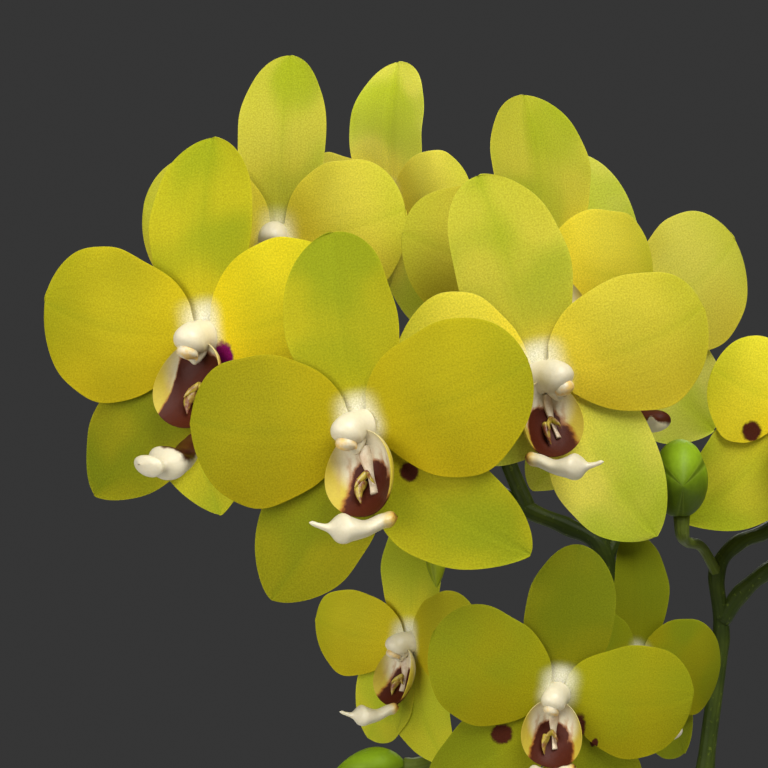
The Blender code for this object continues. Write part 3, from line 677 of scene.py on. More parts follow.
def tepal_finish(name, flower, petal):
    """Skin of a tepal: pale heart, green tip and midrib, faint veins and spots.

    Place is the point in the flower's own plane in mm, along runs from foot
    to tip and across runs from edge to edge.
    """
    tone = flower.tone
    look = settings()
    middle = look.petal_colour if petal else look.sepal_colour
    deep = look.petal_deep if petal else look.sepal_green
    middle = mixed(middle, look.sepal_green, flower.green * (0.7 if petal else 0.6))
    # Painted light and shade: the flower's tone and pale bring in its share of lit or shaded colour.
    middle = scaled((middle[0], middle[1], middle[2] + flower.pale), tone)
    deep = (deep[0], deep[1], deep[2] + 0.7 * flower.pale)
    finish = Finish(name, flesh=(0.22, (1.0, 0.85, 0.22), 0.0016), IOR=1.4, Specular_IOR_Level=0.06)
    place = finish.own_place()
    along, across, reach, shade = finish.fields("along", "across", "reach", "shade")
    x, y, _ = finish.parts(place)
    clouds = finish.noise(place, 0.06, 1.0, roughness=0.4)
    grain = finish.noise(place, 2.6, 2.0, roughness=0.7)
    mottle = finish.noise(place, 0.9, 4.0, roughness=0.65)
    veins = (across * 30.0 + clouds * 3.0).wave() ** 3.0
    edge = abs(across)
    midrib = (edge / (0.16 if petal else 0.24)).step(1.0, 0.0)
    green = scaled(look.sepal_green, tone)
    colour = finish.blend(clouds.step(0.40, 0.66) * 0.6, middle, scaled(deep, tone))
    veining = veins * 0.10 * (1.0 - edge) * along.step(0.0, 0.3)
    colour = finish.blend(veining, colour, scaled(deep, 0.75 * tone))
    if petal:
        colour = finish.blend(along.step(0.62, 1.0) * 0.38 + midrib * along.step(0.1, 0.5) * 0.14,
                              colour, green)
        # Painted shade: petals grow darker and warmer towards the flower's lower side, where less light falls
        # from above.
        colour = finish.tinted(y.step(9.0, -15.0) * 0.8, colour, (0.86, 0.76, 0.42))
    else:
        patch = (clouds + edge.step(0.9, 0.0) * 0.14).step(0.42, 0.72) * along.step(0.15, 0.55) * 0.60
        colour = finish.blend(along.step(0.45, 1.0) * 0.34 + patch, colour, green)
        colour = finish.blend(midrib * along.step(0.25, 0.7) * 0.30, colour, green)
    colour = finish.tinted(along.step(0.5, 0.12) * 0.6, colour, (1.26, 1.13, 0.7))
    colour = finish.tinted(edge.step(0.92, 1.0) * 0.4, colour, (1.16, 1.12, 1.2))
    # Painted light where light comes through a tepal and painted shade where it lies in shade, as SHADES
    # gives.
    colour = finish.tinted(shade, colour, (2.2, 2.1, 1.8) if petal else (2.2, 2.2, 4.0))
    colour = finish.tinted(shade * -1.0, colour, (0.3, 0.3, 0.2))
    heart = (reach - y.step(1.0, 8.0) * 2.4 + (clouds - 0.5) * 5.0).step(7.6, 2.4) ** 2.0
    # The heart follows the flower's tone a little, so it carries a little of that painted light and shade
    # too.
    glow = scaled(look.heart_colour, 0.8 + 0.2 * tone)
    colour = finish.blend(heart * (0.75 if petal else 0.92), colour, glow)
    spot_colour = look.purple_colour if flower.label == "a" else look.spot_colour
    for right, up, wide, tall, both in SPOTS.get(flower.label, ()):
        if both or not petal:
            apart = ((x - right) / wide) ** 2.0 + ((y - up) / tall) ** 2.0 + (mottle - 0.5) * 1.1
            colour = finish.blend(apart.step(1.35, 0.65), colour, spot_colour)
    colour = finish.grained(colour, grain.step(0.28, 0.72), (0.84, 0.84, 0.74), (1.16, 1.16, 1.26))
    relief = veins * 0.13 * (1.0 - edge) + mottle * 0.45 + grain * 0.16 - midrib * 0.15
    return finish.finished(colour, relief, 0.12, Roughness=0.52 + mottle * 0.2)


def bowl_finish(name, tone, hollow):
    """Inside and outside of the lip's bowl; hollow darkens its right side to the top.

    Spread runs from the middle (0) to the rim (1), rise from the bottom (-1)
    to the top (1) and side from left (-1) to right (1).
    """
    look = settings()
    finish = Finish(name, flesh=(0.08, (1.0, 0.8, 0.5), 0.0008), IOR=1.42, Specular_IOR_Level=0.2)
    place = finish.own_place()
    side, rise, spread = finish.parts(place)
    ragged = finish.noise(place, 3.2, 4.0, roughness=0.6)
    grain = finish.noise(place, 22.0, 2.0)
    cream = scaled(look.cream_colour, tone)
    yellow = scaled((0.50, 0.385, 0.04), tone)
    colour = finish.blend((spread + (0.1 - rise) * 0.35).step(0.55, 0.92), cream, yellow)
    streaks = (side * 26.0 + ragged * 7.0).wave() ** 2.0 * rise.step(0.75, 0.2) * spread.step(0.95, 0.6)
    colour = finish.blend(streaks * 0.55, colour, (0.42, 0.20, 0.07))
    dark = rise * 0.95 + (spread - 0.55) * 1.15 + (ragged - 0.5) * 0.6 + 0.20 + side.step(-0.40, -0.90) * 0.45
    dark = dark + side.step(0.70, 1.0) * 0.25
    if hollow:
        dark = dark - side.step(-0.85, -0.55) * hollow
    colour = finish.blend(dark.step(0.42, 0.18) * 0.85, colour, look.flame_colour)
    colour = finish.blend(dark.step(0.24, 0.10), colour, look.throat_colour)
    colour = finish.grained(colour, grain, (0.88, 0.88, 0.86), grey(1.1))
    return finish.finished(colour, ragged * 0.8 + grain * 0.2, 0.18)


def fleshy_finish(name, tone, blush):
    """White fleshy tissue; blush is how far a dark patch runs from its foot and how low it reaches.

    The foot itself is yellow and orange. Without blush it is plain white.
    """
    look = settings()
    finish = Finish(name, roughness=0.36, flesh=(0.3, (1.0, 0.85, 0.6), 0.0016), IOR=1.42)
    along, over = finish.fields("along", "over")
    cloud, grain = finish.noises((260.0, 3.0), (1500.0, 2.0))
    colour = scaled(look.cream_colour, tone)
    if blush:
        foot = along + (cloud - 0.5) * 0.22
        reach, low = blush
        top = (over + (cloud - 0.5) * 1.5).step(low, low + 0.5)
        colour = finish.blend(foot.step(0.22, 0.06) * 0.9, colour, scaled((0.62, 0.42, 0.05), tone))
        colour = finish.blend(foot.step(0.14, 0.03) * cloud.step(0.35, 0.6), colour, (0.30, 0.085, 0.012))
        colour = finish.blend(foot.step(reach + 0.06, reach) * top, colour, look.throat_colour)
    colour = finish.grained(colour, grain, (0.93, 0.93, 0.90), grey(1.06))
    return finish.finished(colour, cloud + grain * 0.3, 0.12)


def plain_finish(name, colour, shade, scale, roughness=0.5, depth=0.1):
    """Two mixed tones with a fine grain."""
    finish = Finish(name)
    cloud, grain = finish.noises((scale, 4.0), (scale * 9.0, 2.0))
    colour = finish.blend(cloud.step(0.35, 0.65), colour, shade)
    colour = finish.grained(colour, grain, grey(0.86), grey(1.12))
    return finish.finished(colour, cloud + grain * 0.4, depth, Roughness=roughness - 0.08 + grain * 0.16)


def spike_finish(name, young):
    """Waxy stalk: dark green with fine long streaks and paler young growth."""
    look = settings()
    base = mixed(look.spike_colour, look.spike_light, young)
    finish = Finish(name, flesh=(0.08, (0.6, 1.0, 0.2), 0.001), Specular_IOR_Level=0.12)
    around, run = finish.fields("around", "run")
    cloud, speck = finish.noises((95.0, 4.0), (900.0, 2.0))
    streak = (around * 75.4 + cloud * 2.0).wave()
    colour = finish.blend(cloud.step(0.38, 0.70) * 0.8, base, mixed(base, look.spike_light, 0.45))
    colour = finish.blend(streak * 0.25, colour, scaled(base, 0.6))
    colour = finish.blend(speck.step(0.62, 0.72) * 0.5, colour, scaled(look.spike_light, 1.3))
    colour = finish.blend((run / 6.5).wave() ** 20.0 * 0.15, colour, scaled(base, 0.5))
    relief = streak * 0.4 + cloud * 0.6 + speck * 0.2
    return finish.finished(colour, relief, 0.12, Roughness=0.36 + cloud * 0.16)


def bud_finish(name, pale=0.0):
    """Bud skin: lighter with height and darker below as painted light and shade, and painted shade in the
    seams where the sepals meet.

    Pale mixes in the green of open sepals.
    """
    look = settings()
    bright, dull = (mixed(colour, look.sepal_green, pale) for colour in (look.bud_colour, look.bud_painted_shade))
    finish = Finish(name, flesh=(0.15, (0.8, 1.0, 0.2), 0.0015), Specular_IOR_Level=0.12)
    sun, seam = finish.fields("sun", "seam")
    cloud, grain = finish.noises((130.0, 4.0), (1100.0, 2.0))
    # Painted light and shade: the bright colour towards the top of a bud and the shaded colour below.
    colour = finish.blend((sun + (cloud - 0.5) * 0.4).step(0.25, 0.85), dull, bright)
    # Painted shade in the seam grooves.
    colour = finish.blend(seam.step(0.72, 1.0) * 0.75, colour, scaled(dull, 0.8))
    colour = finish.blend(seam.step(0.55, 0.80) * seam.step(1.0, 0.85) * 0.2, colour, (0.24, 0.30, 0.04))
    colour = finish.grained(colour, grain, grey(0.84), grey(1.14))
    return finish.finished(colour, cloud + grain * 0.4, 0.12, Roughness=0.38 + grain * 0.14)


def leaf_finish(name, upper):
    """Thick waxy leaf: long fine veins and a pale midrib groove; lighter when it isn't an upper side."""
    look = settings()
    base = look.leaf_colour if upper else mixed(look.leaf_colour, look.leaf_light, 0.55)
    finish = Finish(name, flesh=(0.05, (0.3, 1.0, 0.15), 0.001), Coat_Weight=0.25, Coat_Roughness=0.3)
    along, across = finish.fields("along", "across")
    cloud, speck = finish.noises((24.0, 4.0), (420.0, 3.0))
    vein = (across * 60.0 + cloud * 1.5).wave()
    edge = abs(across)
    colour = finish.blend(cloud.step(0.35, 0.7) * 0.5, base, mixed(base, look.leaf_light, 0.4))
    colour = finish.blend(vein ** 2.0 * 0.22, colour, scaled(base, 0.55))
    colour = finish.blend(edge.step(0.055, 0.0) * 0.45, colour, look.leaf_light)
    colour = finish.blend(along.step(0.10, 0.0) * 0.6, colour, look.leaf_light)
    colour = finish.blend(edge.step(0.93, 1.0) * 0.4, colour, mixed(look.leaf_light, (0.10, 0.03, 0.03), 0.5))
    colour = finish.blend(speck.step(0.64, 0.74) * 0.3, colour, look.leaf_light)
    relief = vein * 0.35 + cloud * 1.2 + speck * 0.3
    return finish.finished(colour, relief, 0.25, Roughness=0.28 + cloud * 0.22)


def root_finish(name):
    """Spongy silver skin that is green where it is wet and bright green at the tip."""
    finish = Finish(name)
    along, = finish.fields("along")
    cloud, grain = finish.noises((120.0, 5.0), (1400.0, 3.0))
    colour = finish.blend(cloud.step(0.40, 0.62), settings().root_colour, (0.17, 0.23, 0.09))
    colour = finish.blend(grain.step(0.45, 0.7) * 0.4, colour, (0.62, 0.63, 0.56))
    colour = finish.blend(along.step(0.86, 0.93), colour, (0.13, 0.27, 0.03))
    return finish.finished(colour, cloud + grain * 0.6, 0.30, Roughness=0.62 + grain * 0.25)


def bark_finish(name):
    """Bark chips: each chip has its own tone, with pale fibres and dark cracks."""
    look = settings()
    finish = Finish(name)
    tone, = finish.fields("tone")
    place = finish.object_place()
    squeezed = finish.node("ShaderNodeVectorMath", {"operation": "MULTIPLY"}, place, (1.0, 1.0, 3.5))
    layers = finish.noise(squeezed, 190.0, 6.0, roughness=0.65)
    grain = finish.noise(place, 900.0, 4.0, roughness=0.7)
    colour = finish.blend(tone, scaled(look.bark_colour, 0.55), scaled(look.bark_colour, 1.9))
    colour = finish.blend(layers.step(0.52, 0.72) * 0.7, colour, (0.30, 0.17, 0.09))
    colour = finish.blend(layers.step(0.46, 0.34) * 0.8, colour, (0.022, 0.012, 0.008))
    return finish.finished(colour, layers + grain * 0.5, 0.9, Roughness=0.78 + grain * 0.2)


def glaze_finish(name):
    """Satin stoneware glaze: soft mottling, faint throwing rings and a few iron specks."""
    look = settings()
    finish = Finish(name, Coat_Weight=0.35, Coat_Roughness=0.18, IOR=1.5)
    _, _, height = finish.parts(finish.object_place())
    cloud, fine, speck = finish.noises((28.0, 5.0), (380.0, 3.0), (620.0, 1.0))
    rings = (height * 1650.0 + cloud * 2.0).wave()
    colour = finish.blend(cloud.step(0.3, 0.75), scaled(look.pot_colour, 1.05), scaled(look.pot_colour, 0.84))
    colour = finish.blend(speck.step(0.73, 0.79) * 0.75, colour, (0.16, 0.10, 0.06))
    colour = finish.blend(rings * 0.07, colour, scaled(look.pot_colour, 0.6))
    relief = rings * 0.5 + cloud * 0.8 + fine * 0.12
    return finish.finished(colour, relief, 0.22, Roughness=0.22 + fine * 0.22)


# ---------------------------------------------------------------- pieces of a flower

def tepal_shell(flower, part, material):
    """One tepal as a closed leaf.

    The half width is claw (1-u)^3 plus u^rise (1-u)^fall scaled to the full
    width; the foot runs on inwards under the column. The margin waves, the
    midline is a shallow groove, and the thickness falls to nothing at the
    edge.
    """
    label, size = flower.label, flower.size
    look = settings()
    kind, _, hand = part.partition("_")
    shape = {**TEPALS[kind], **VARIATIONS.get((label, part), {})}
    reach = shape["length"] - TEPAL_START
    inner = -(TEPAL_START - 0.3) / reach
    t = shares(52)[:, None]
    u = inner + (1.0 - inner) * (1.0 - (1.0 - t) ** 1.7)
    v = np.sin(0.5 * np.pi * np.linspace(-1.0, 1.0, 33))[None, :]
    outer = np.clip(u, 0.0, 1.0)
    rise, fall = shape["rise"], shape["fall"]
    peak = rise / (rise + fall)
    outline = outer ** rise * (1.0 - outer) ** fall / (peak ** rise * (1.0 - peak) ** fall)
    half = shape["claw"] * (1.0 - outer) ** 3 + 0.5 * shape["width"] * outline
    free = 1.0 - (1.0 - outer) ** 3
    phase = (ord(label) * 1.7 + len(part) * 2.3) % 6.28
    nick = 0.022 * np.sin(7.0 * outer + phase) * np.sign(v) + 0.012 * np.sin(17.0 * outer + 2.0 * phase)
    x = v * half * (1.0 + nick * np.abs(v) ** 3) + shape["bow"] * reach * np.sin(np.pi * outer)
    bend = shape["length"] * (shape["arch"] * np.sin(np.pi * outer) + shape["hook"] * outer ** 3)
    bend = bend + shape["cup"] * half * v ** 2 * free
    wave = np.sin(9.5 * outer + phase + 1.4 * np.sign(v)) + 0.5 * np.sin(21.0 * outer + 3.0 * phase)
    bend = bend + look.margin_wave * wave * np.abs(v) ** 3 * outer * (1.4 - outer)
    groove = 0.10 if kind == "petal" else 0.22
    bend = bend - groove * np.exp(-(v / 0.09) ** 2) * free * (1.0 - 0.5 * outer)
    tilt = math.radians(shape["tilt"])
    out = TEPAL_START + reach * u * math.cos(tilt) - bend * math.sin(tilt)
    forward = shape["forward"] + reach * u * math.sin(tilt) + bend * math.cos(tilt)
    foot = TEPALS[kind]["angle"]
    angle = np.radians(foot + (shape["angle"] - foot) * free)
    mirror = -1.0 if hand == "left" else 1.0
    right = mirror * (x * np.cos(angle) + out * np.sin(angle))
    up = -x * np.sin(angle) + out * np.cos(angle)
    front = size * np.stack((right, -forward + 0.0 * right, up), axis=-1)
    place = np.stack((right, up, 40.0 * ord(label) + 0.0 * right), axis=-1)
    across = v + 0.0 * outer
    if hand == "left":
        front, place, across = (grid[:, ::-1] for grid in (front, place, across))
    thickness = look.tepal_thickness * size * border_fade(t, v, 14.0, 8.0) * (1.0 - 0.45 * outer)
    return sheet_shell(front, backed(front, thickness, (0.0, 1.0, 0.0)), material,
                       along=outer + 0.0 * v, across=across, place=place,
                       reach=np.hypot(place[..., 0], place[..., 1]),
                       shade=np.full(across.shape, SHADES[label].get(part, 0.0)))


BOWL_HALF_WIDTH = 8.1
BOWL_HALF_HEIGHT = 8.7
BOWL_MIDDLE = -9.7
BOWL_DEPTH = 3.4
BOWL_LEAD = 3.4
BOWL_SLOPE = 4.8
BOWL_WALL = 0.75


def bowl_shell(material, turn):
    """The lip's two side lobes, which stand round the throat as an oval cup.

    On a disc of angle and spread r the cup is a tilted oval, wider above than
    below, whose depth is BOWL_DEPTH (1 - r^3). It is turned about its own rim,
    so the rim stays under the column.
    """
    spread = np.sin(0.5 * np.pi * shares(30))[:, None]
    angle = np.linspace(0.0, 2.0 * np.pi, 73)[None, :]
    side = spread * np.sin(angle) * (1.0 + 0.08 * np.cos(angle))
    rise = spread * np.cos(angle)
    lead = BOWL_LEAD + BOWL_SLOPE * (0.5 - 0.5 * rise)
    ears = 2.2 * np.sin(angle) ** 2 * spread ** 3 * (0.75 - 0.25 * rise)
    flare = 1.0 + 0.04 * np.cos(3.0 * angle) * spread ** 6
    depth = ears - BOWL_DEPTH * (1.0 - spread ** 3)
    swing = math.radians(turn)
    across = BOWL_HALF_WIDTH * side * flare
    front = np.stack((across * math.cos(swing) + depth * math.sin(swing),
                      across * math.sin(swing) - depth * math.cos(swing) - lead,
                      BOWL_MIDDLE + BOWL_HALF_HEIGHT * rise * flare), axis=-1)
    thickness = BOWL_WALL * np.sqrt(np.clip(1.0 - spread ** 10, 0.0, 1.0)) * np.ones_like(angle)
    place = np.stack((side, rise, spread + 0.0 * angle), axis=-1)
    return sheet_shell(front, backed(front, thickness, (0.0, 1.0, 0.0)), material, place=place)


MIDLOBE_LENGTH = 18.0
MIDLOBE_FOOT = (0.0, -8.2, -18.3)
# Stations along the front lobe: share of the length, half height, half width, centre's height.
MIDLOBE = np.array(((0.0, 0.2, 0.3, 0.1), (0.04, 1.25, 1.8, 0.0), (0.17, 1.64, 2.8, -0.5),
                    (0.39, 1.85, 4.0, -2.0), (0.53, 2.60, 5.0, -1.9), (0.62, 3.25, 5.0, -1.75),
                    (0.70, 2.66, 3.8, -1.9), (0.775, 1.20, 1.9, -1.8), (0.89, 0.60, 0.9, -1.3),
                    (0.97, 0.45, 0.6, -0.8), (1.0, 0.1, 0.2, -0.7))).T


def midlobe_shell(material, turn, roll, dip=0.0, size=1.0, right=0.0, drop=0.0, blunt=0.0, swing=0.0):
    """The lip's fleshy front lobe: a keeled trowel with a shoulder and a narrow tip.

    A blunt one is a fifth shorter and keeps its width almost to the end.
    Swing turns it further than its lip.
    """
    turn = turn + swing
    s = 0.5 - 0.5 * np.cos(np.pi * shares(56))
    height, width, centre = (smooth_values(s, MIDLOBE[0], row) for row in MIDLOBE[1:])
    end = blunt * np.exp(-((s - 0.88) / 0.10) ** 2) * np.clip((1.0 - s) / 0.05, 0.0, 1.0) ** 0.5
    height, width = height + 1.5 * end, width + 2.9 * end
    angle = round_angles(36)
    dish = 0.12 * height[:, None] * np.clip(np.sin(angle), 0.0, 1.0) ** 4
    x = width[:, None] * np.cos(angle) + 0.9 * np.sin(2.6 * s)[:, None]
    z = centre[:, None] + height[:, None] * np.sin(angle) - dish
    y = -MIDLOBE_LENGTH * (1.0 - 0.2 * blunt) * s[:, None] + 0.0 * angle
    points = size * np.stack((x, y, z), axis=-1) @ turning(x=dip).T @ turning(z=turn).T
    points = points - np.array([0.43 * MIDLOBE_LENGTH * math.sin(math.radians(turn)), 0.0, 0.0])
    points = points @ turning(y=roll).T + MIDLOBE_FOOT + np.array([right, 0.0, -drop])
    return Shell(points, grid_quads(*x.shape, closed=True), material,
                 along=np.repeat(s, len(angle[0])), over=np.tile(np.sin(angle[0]), len(s)))


def smooth_values(at, stations, values):
    """Values between the stations, eased so that no corner shows."""
    index = np.clip(np.searchsorted(stations, at, side="right") - 1, 0, len(stations) - 2)
    slopes = np.gradient(values, stations)
    gap = stations[index + 1] - stations[index]
    t = (at - stations[index]) / gap
    return ((2 * t ** 3 - 3 * t ** 2 + 1) * values[index] + (t ** 3 - 2 * t ** 2 + t) * gap * slopes[index]
            + (3 * t ** 2 - 2 * t ** 3) * values[index + 1] + (t ** 3 - t ** 2) * gap * slopes[index + 1])


def callus_shells(cream, dark):
    """The ridge that runs down the throat, with two horns and a tooth beside it."""
    ridge = smooth_path(((0.6, -1.6, -4.0), (0.9, -2.0, -8.0), (1.6, -3.2, -11.6), (2.2, -4.4, -14.0)), 0.35)
    fall = shares(len(ridge))
    shells = [sweep_shell(ridge, 1.6 - 0.8 * fall + 0.25 * np.sin(7.0 * fall), 24, cream, flat=0.6)]
    # Points, thickness at the foot, how late it tapers, thickness at the tip and flatness.
    rods = [(((0.7, -3.0, -9.6), (0.7 + 1.3 * side, -4.6, -10.8), (0.7 + 1.9 * side, -6.2 * reach, -12.0)),
             0.75, 2.0, 0.06, 0.6) for side, reach in ((-1.0, 1.0), (1.0, 0.7))]
    rods.append((((-0.6, -3.4, -11.0), (-1.0, -5.0, -13.0), (-0.5, -6.0, -15.4)), 1.25, 1.6, 0.08, 0.7))
    for points, thick, late, fine, flat in rods:
        path = smooth_path(points, 0.3)
        radius = thick * (1.0 - shares(len(path)) ** late) + fine
        shells.append(sweep_shell(path, radius, 14, dark, flat=flat))
    return shells


def column_shells(cream, cap, turn):
    """The column: a thick rod that nods, with a round hood, an anther cap and a nose below it."""
    lean = math.radians(turn)
    forward = np.array([math.sin(lean), -math.cos(lean), 0.0])
    base = np.array([-0.8 * math.copysign(1.0, turn), -0.6, 0.1])
    # Points as (distance forward, drop), stations along them, radii there, point spacing, sides and flatness.
    rods = (
        (((0.0, 0.0), (2.6, 0.0), (5.0, 0.9), (6.6, 2.8)),
         (0.0, 0.3, 0.6, 0.8, 0.92, 0.98, 1.0), (3.5, 3.3, 3.5, 3.3, 2.4, 1.2, 0.4), 0.3, 40, 0.95, cream),
        (((4.4, 2.4), (5.9, 3.4), (6.4, 4.5)),
         (0.0, 0.4, 0.8, 1.0), (1.6, 2.35, 1.8, 0.3), 0.25, 28, 0.9, cap),
        (((2.6, 1.2), (3.6, 4.2), (3.9, 5.6)),
         (0.0, 0.5, 0.85, 1.0), (2.4, 1.9, 1.0, 0.3), 0.25, 28, 0.8, cream),
    )
    shells = []
    for points, stations, radii, step, sides, flat, material in rods:
        path = smooth_path([base + forward * ahead - (0.0, 0.0, drop) for ahead, drop in points], step)
        radius = smooth_values(shares(len(path)), np.array(stations), np.array(radii))
        shells.append(sweep_shell(path, radius, sides, material, flat=flat))
    return shells


# ---------------------------------------------------------------- pieces of the plant

def flower_back(flower):
    """Where a flower's pedicel ends, and the way that it points there."""
    back = flower_turn(flower) @ np.array([0.0, 1.0, 0.0])
    return np.asarray(flower.place) + back * (0.9 * flower.size - 0.2), back


def spike_shells(name, branches, old, young):
    """The stem, its side branches, the pedicels and a bract at each joint below BRACTS_BELOW."""
    shells = []
    for points, first, last in branches:
        path = smooth_path(points, 1.6)
        radius = 0.92 * (first + (last - first) * shares(len(path)))
        knots = np.asarray(points)[2:-1] if first > FORK_RADIUS else np.asarray(points)[1:]
        near = np.min(np.linalg.norm(path[:, None] - knots[None], axis=-1), axis=1)
        radius = radius * (1.0 + 0.16 * np.exp(-(near / 2.6) ** 2))
        shells.append(sweep_shell(path, radius, 28, old))
        shells += [bract_shell(path, radius, int(np.argmin(np.linalg.norm(path - knot, axis=1))), old, index)
                   for index, knot in enumerate(knots) if knot[2] < BRACTS_BELOW]
    ends = {flower.label: flower_back(flower) for flower in FLOWERS}
    for bud, foot, direction, _, _ in BUDS:
        ahead = unit(np.asarray(direction))
        ends[bud] = (np.asarray(foot) + 0.2 * ahead, -ahead)
    for owner, start in PEDICELS[name].items():
        end, back = ends[owner]
        run = BUD_PEDICEL_END if owner.startswith("bud") else FLOWER_PEDICEL_END
        path = smooth_path([start, *DETOURS.get(owner, ()), end + run * back, end], 1.2)
        s = shares(len(path))
        flare = 0.5 * np.clip((s - 0.55) / 0.45, 0.0, 1.0) ** 2 + 0.35 * np.exp(-(s / 0.04) ** 2)
        shells.append(sweep_shell(path, PEDICEL_RADIUS * (0.95 + flare), 22, young, ribs=0.05))
    return shells


def bract_shell(path, radius, index, material, turn):
    """A small pointed scale that clasps a stalk at a joint.

    On length u and angle v across the stalk its radius is the stalk's plus a
    little, and its half angle closes to a point as (1-u)^0.7.
    """
    index = min(index, len(path) - 5)
    tangent, side, over = path_frames(path[max(index - 2, 0):index + 5])
    tangent, side, over = tangent[2], side[2], over[2]
    u = shares(14)[:, None]
    v = np.linspace(-1.0, 1.0, 15)[None, :]
    angle = 1.9 * (1.0 - u) ** 0.7 * v + 2.4 * turn
    out = radius[index] * 1.02 + 0.15 + 0.35 * u ** 2
    front = (path[index] + tangent * (-1.0 + 4.6 * u)[..., None] + out[..., None] * (
        np.cos(angle)[..., None] * side + np.sin(angle)[..., None] * over))
    return sheet_shell(front, 0.45 * border_fade(u, v, 8.0, 6.0), material,
                       around=0.1 * v + 0.0 * u, run=2.0 * u + 0.0 * v)


def bud_shell(length, radius, tall, twist, material):
    """A bud of three sepals: fullest a third of the way up, grooved along three seams.

    Tall stretches its section along y, and twist turns the seams (degrees).
    """
    t = 0.5 - 0.5 * np.cos(np.pi * shares(54))[:, None]
    angle = round_angles(96)
    turned = 1.5 * (angle - math.radians(twist))
    seam = np.abs(np.cos(turned)) ** 14
    swell = np.sin(np.pi * np.clip(t, 0.0, 1.0) ** 0.8) ** 0.75
    keel = 0.035 * np.abs(np.sin(turned)) ** 6
    ring = radius * swell * (0.99 - 0.075 * seam * (0.35 + 0.65 * t) + keel * t)
    points = np.stack((ring * np.cos(angle), tall * ring * np.sin(angle), length * t + 0.0 * angle), axis=-1)
    return Shell(points, grid_quads(*ring.shape, closed=True), material, seam=(seam + 0.0 * t).ravel())


LEAF_FOOT_WIDTH = 16.0
LEAF_GAP = 2.5


def leaf_shell(azimuth, height, length, width, rise, droop, material, seed):
    """A strap leaf as a closed sheet that arches out from the crown.

    Its midline's slope falls evenly from rise to droop. The sides lift into a
    channel, the midline is a groove above and a keel below, and the margin
    waves a little.
    """
    v = np.sin(0.5 * np.pi * np.linspace(-1.0, 1.0, 41))[None, :]
    t = shares(90)[:, None]
    slope = np.radians(rise + (droop - rise) * t)
    step = length / (len(t) - 1)
    out = np.vstack(([[0.0]], np.cumsum(step * np.cos(slope[:-1]), axis=0)))
    lift = np.vstack(([[0.0]], np.cumsum(step * np.sin(slope[:-1]), axis=0)))
    swell = LEAF_FOOT_WIDTH + (width - LEAF_FOOT_WIDTH) * np.sin(0.5 * np.pi * np.minimum(t / 0.55, 1.0))
    tip = np.clip(1.0 - np.clip((t - 0.6) / 0.4, 0.0, 1.0) ** 2.4, 0.0, 1.0) ** 0.5
    half = 0.5 * swell * tip
    across = v * half * (1.0 + 0.012 * np.sin(9.0 * t + seed) * np.sign(v))
    up = 0.22 * half * np.abs(v) ** 1.5 * (1.0 - 0.5 * t) - 0.9 * np.exp(-(v / 0.06) ** 2) * tip
    up = up + 1.3 * np.sin(6.5 * t + seed + 1.2 * np.sign(v)) * np.abs(v) ** 3 * t
    radial = CROWN_RADIUS + LEAF_GAP + out - up * np.sin(slope)
    turn = math.radians(azimuth)
    front = np.stack((radial * math.cos(turn) - across * math.sin(turn),
                      radial * math.sin(turn) + across * math.cos(turn),
                      BARK_TOP + height + lift + up * np.cos(slope)), axis=-1)
    thickness = (2.3 - 0.9 * t) * border_fade(t, v, 30.0, 5.0) * (1.0 + 0.35 * np.exp(-(v / 0.10) ** 2))
    return sheet_shell(front, backed(front, thickness, (0.0, 0.0, -1.0)), material,
                       along=t + 0.0 * v, across=v + 0.0 * t)


def polar(radius, degrees_right, height):
    turn = math.radians(degrees_right)
    return (radius * math.sin(turn), -radius * math.cos(turn), height)


def pot_radius(height):
    """Outside radius of the tapered wall; the lip stands out from it."""
    return POT_FOOT_RADIUS + (POT_RIM_RADIUS - POT_LIP_STEP - POT_FOOT_RADIUS) / POT_HEIGHT * height


def pot_shell(material):
    """The pot's wall, lip, inside and foot as one turned profile with rounded corners."""
    lip = POT_HEIGHT - POT_LIP
    under_lip = lip - POT_LIP_STEP
    shoulder = POT_HEIGHT - POT_EDGE
    corners = (
        (0.0, 0.0, 0.0), (POT_FOOT_RADIUS - POT_EDGE, 0.0, 1.2), (pot_radius(POT_EDGE), POT_EDGE, 1.0),
        (pot_radius(under_lip), under_lip, 1.4), (POT_RIM_RADIUS, lip, 1.4),
        (POT_RIM_RADIUS, shoulder, 1.0), (POT_RIM_RADIUS - POT_EDGE, POT_HEIGHT, 1.0),
        (pot_radius(POT_HEIGHT) - POT_WALL + POT_EDGE, POT_HEIGHT, 1.0),
        (pot_radius(shoulder) - POT_WALL, shoulder, 1.0),
        (pot_radius(POT_FLOOR) - POT_WALL, POT_FLOOR, 3.0), (0.0, POT_FLOOR, 0.0),
    )
    return turned_shell(rounded_profile(corners), 160, material)


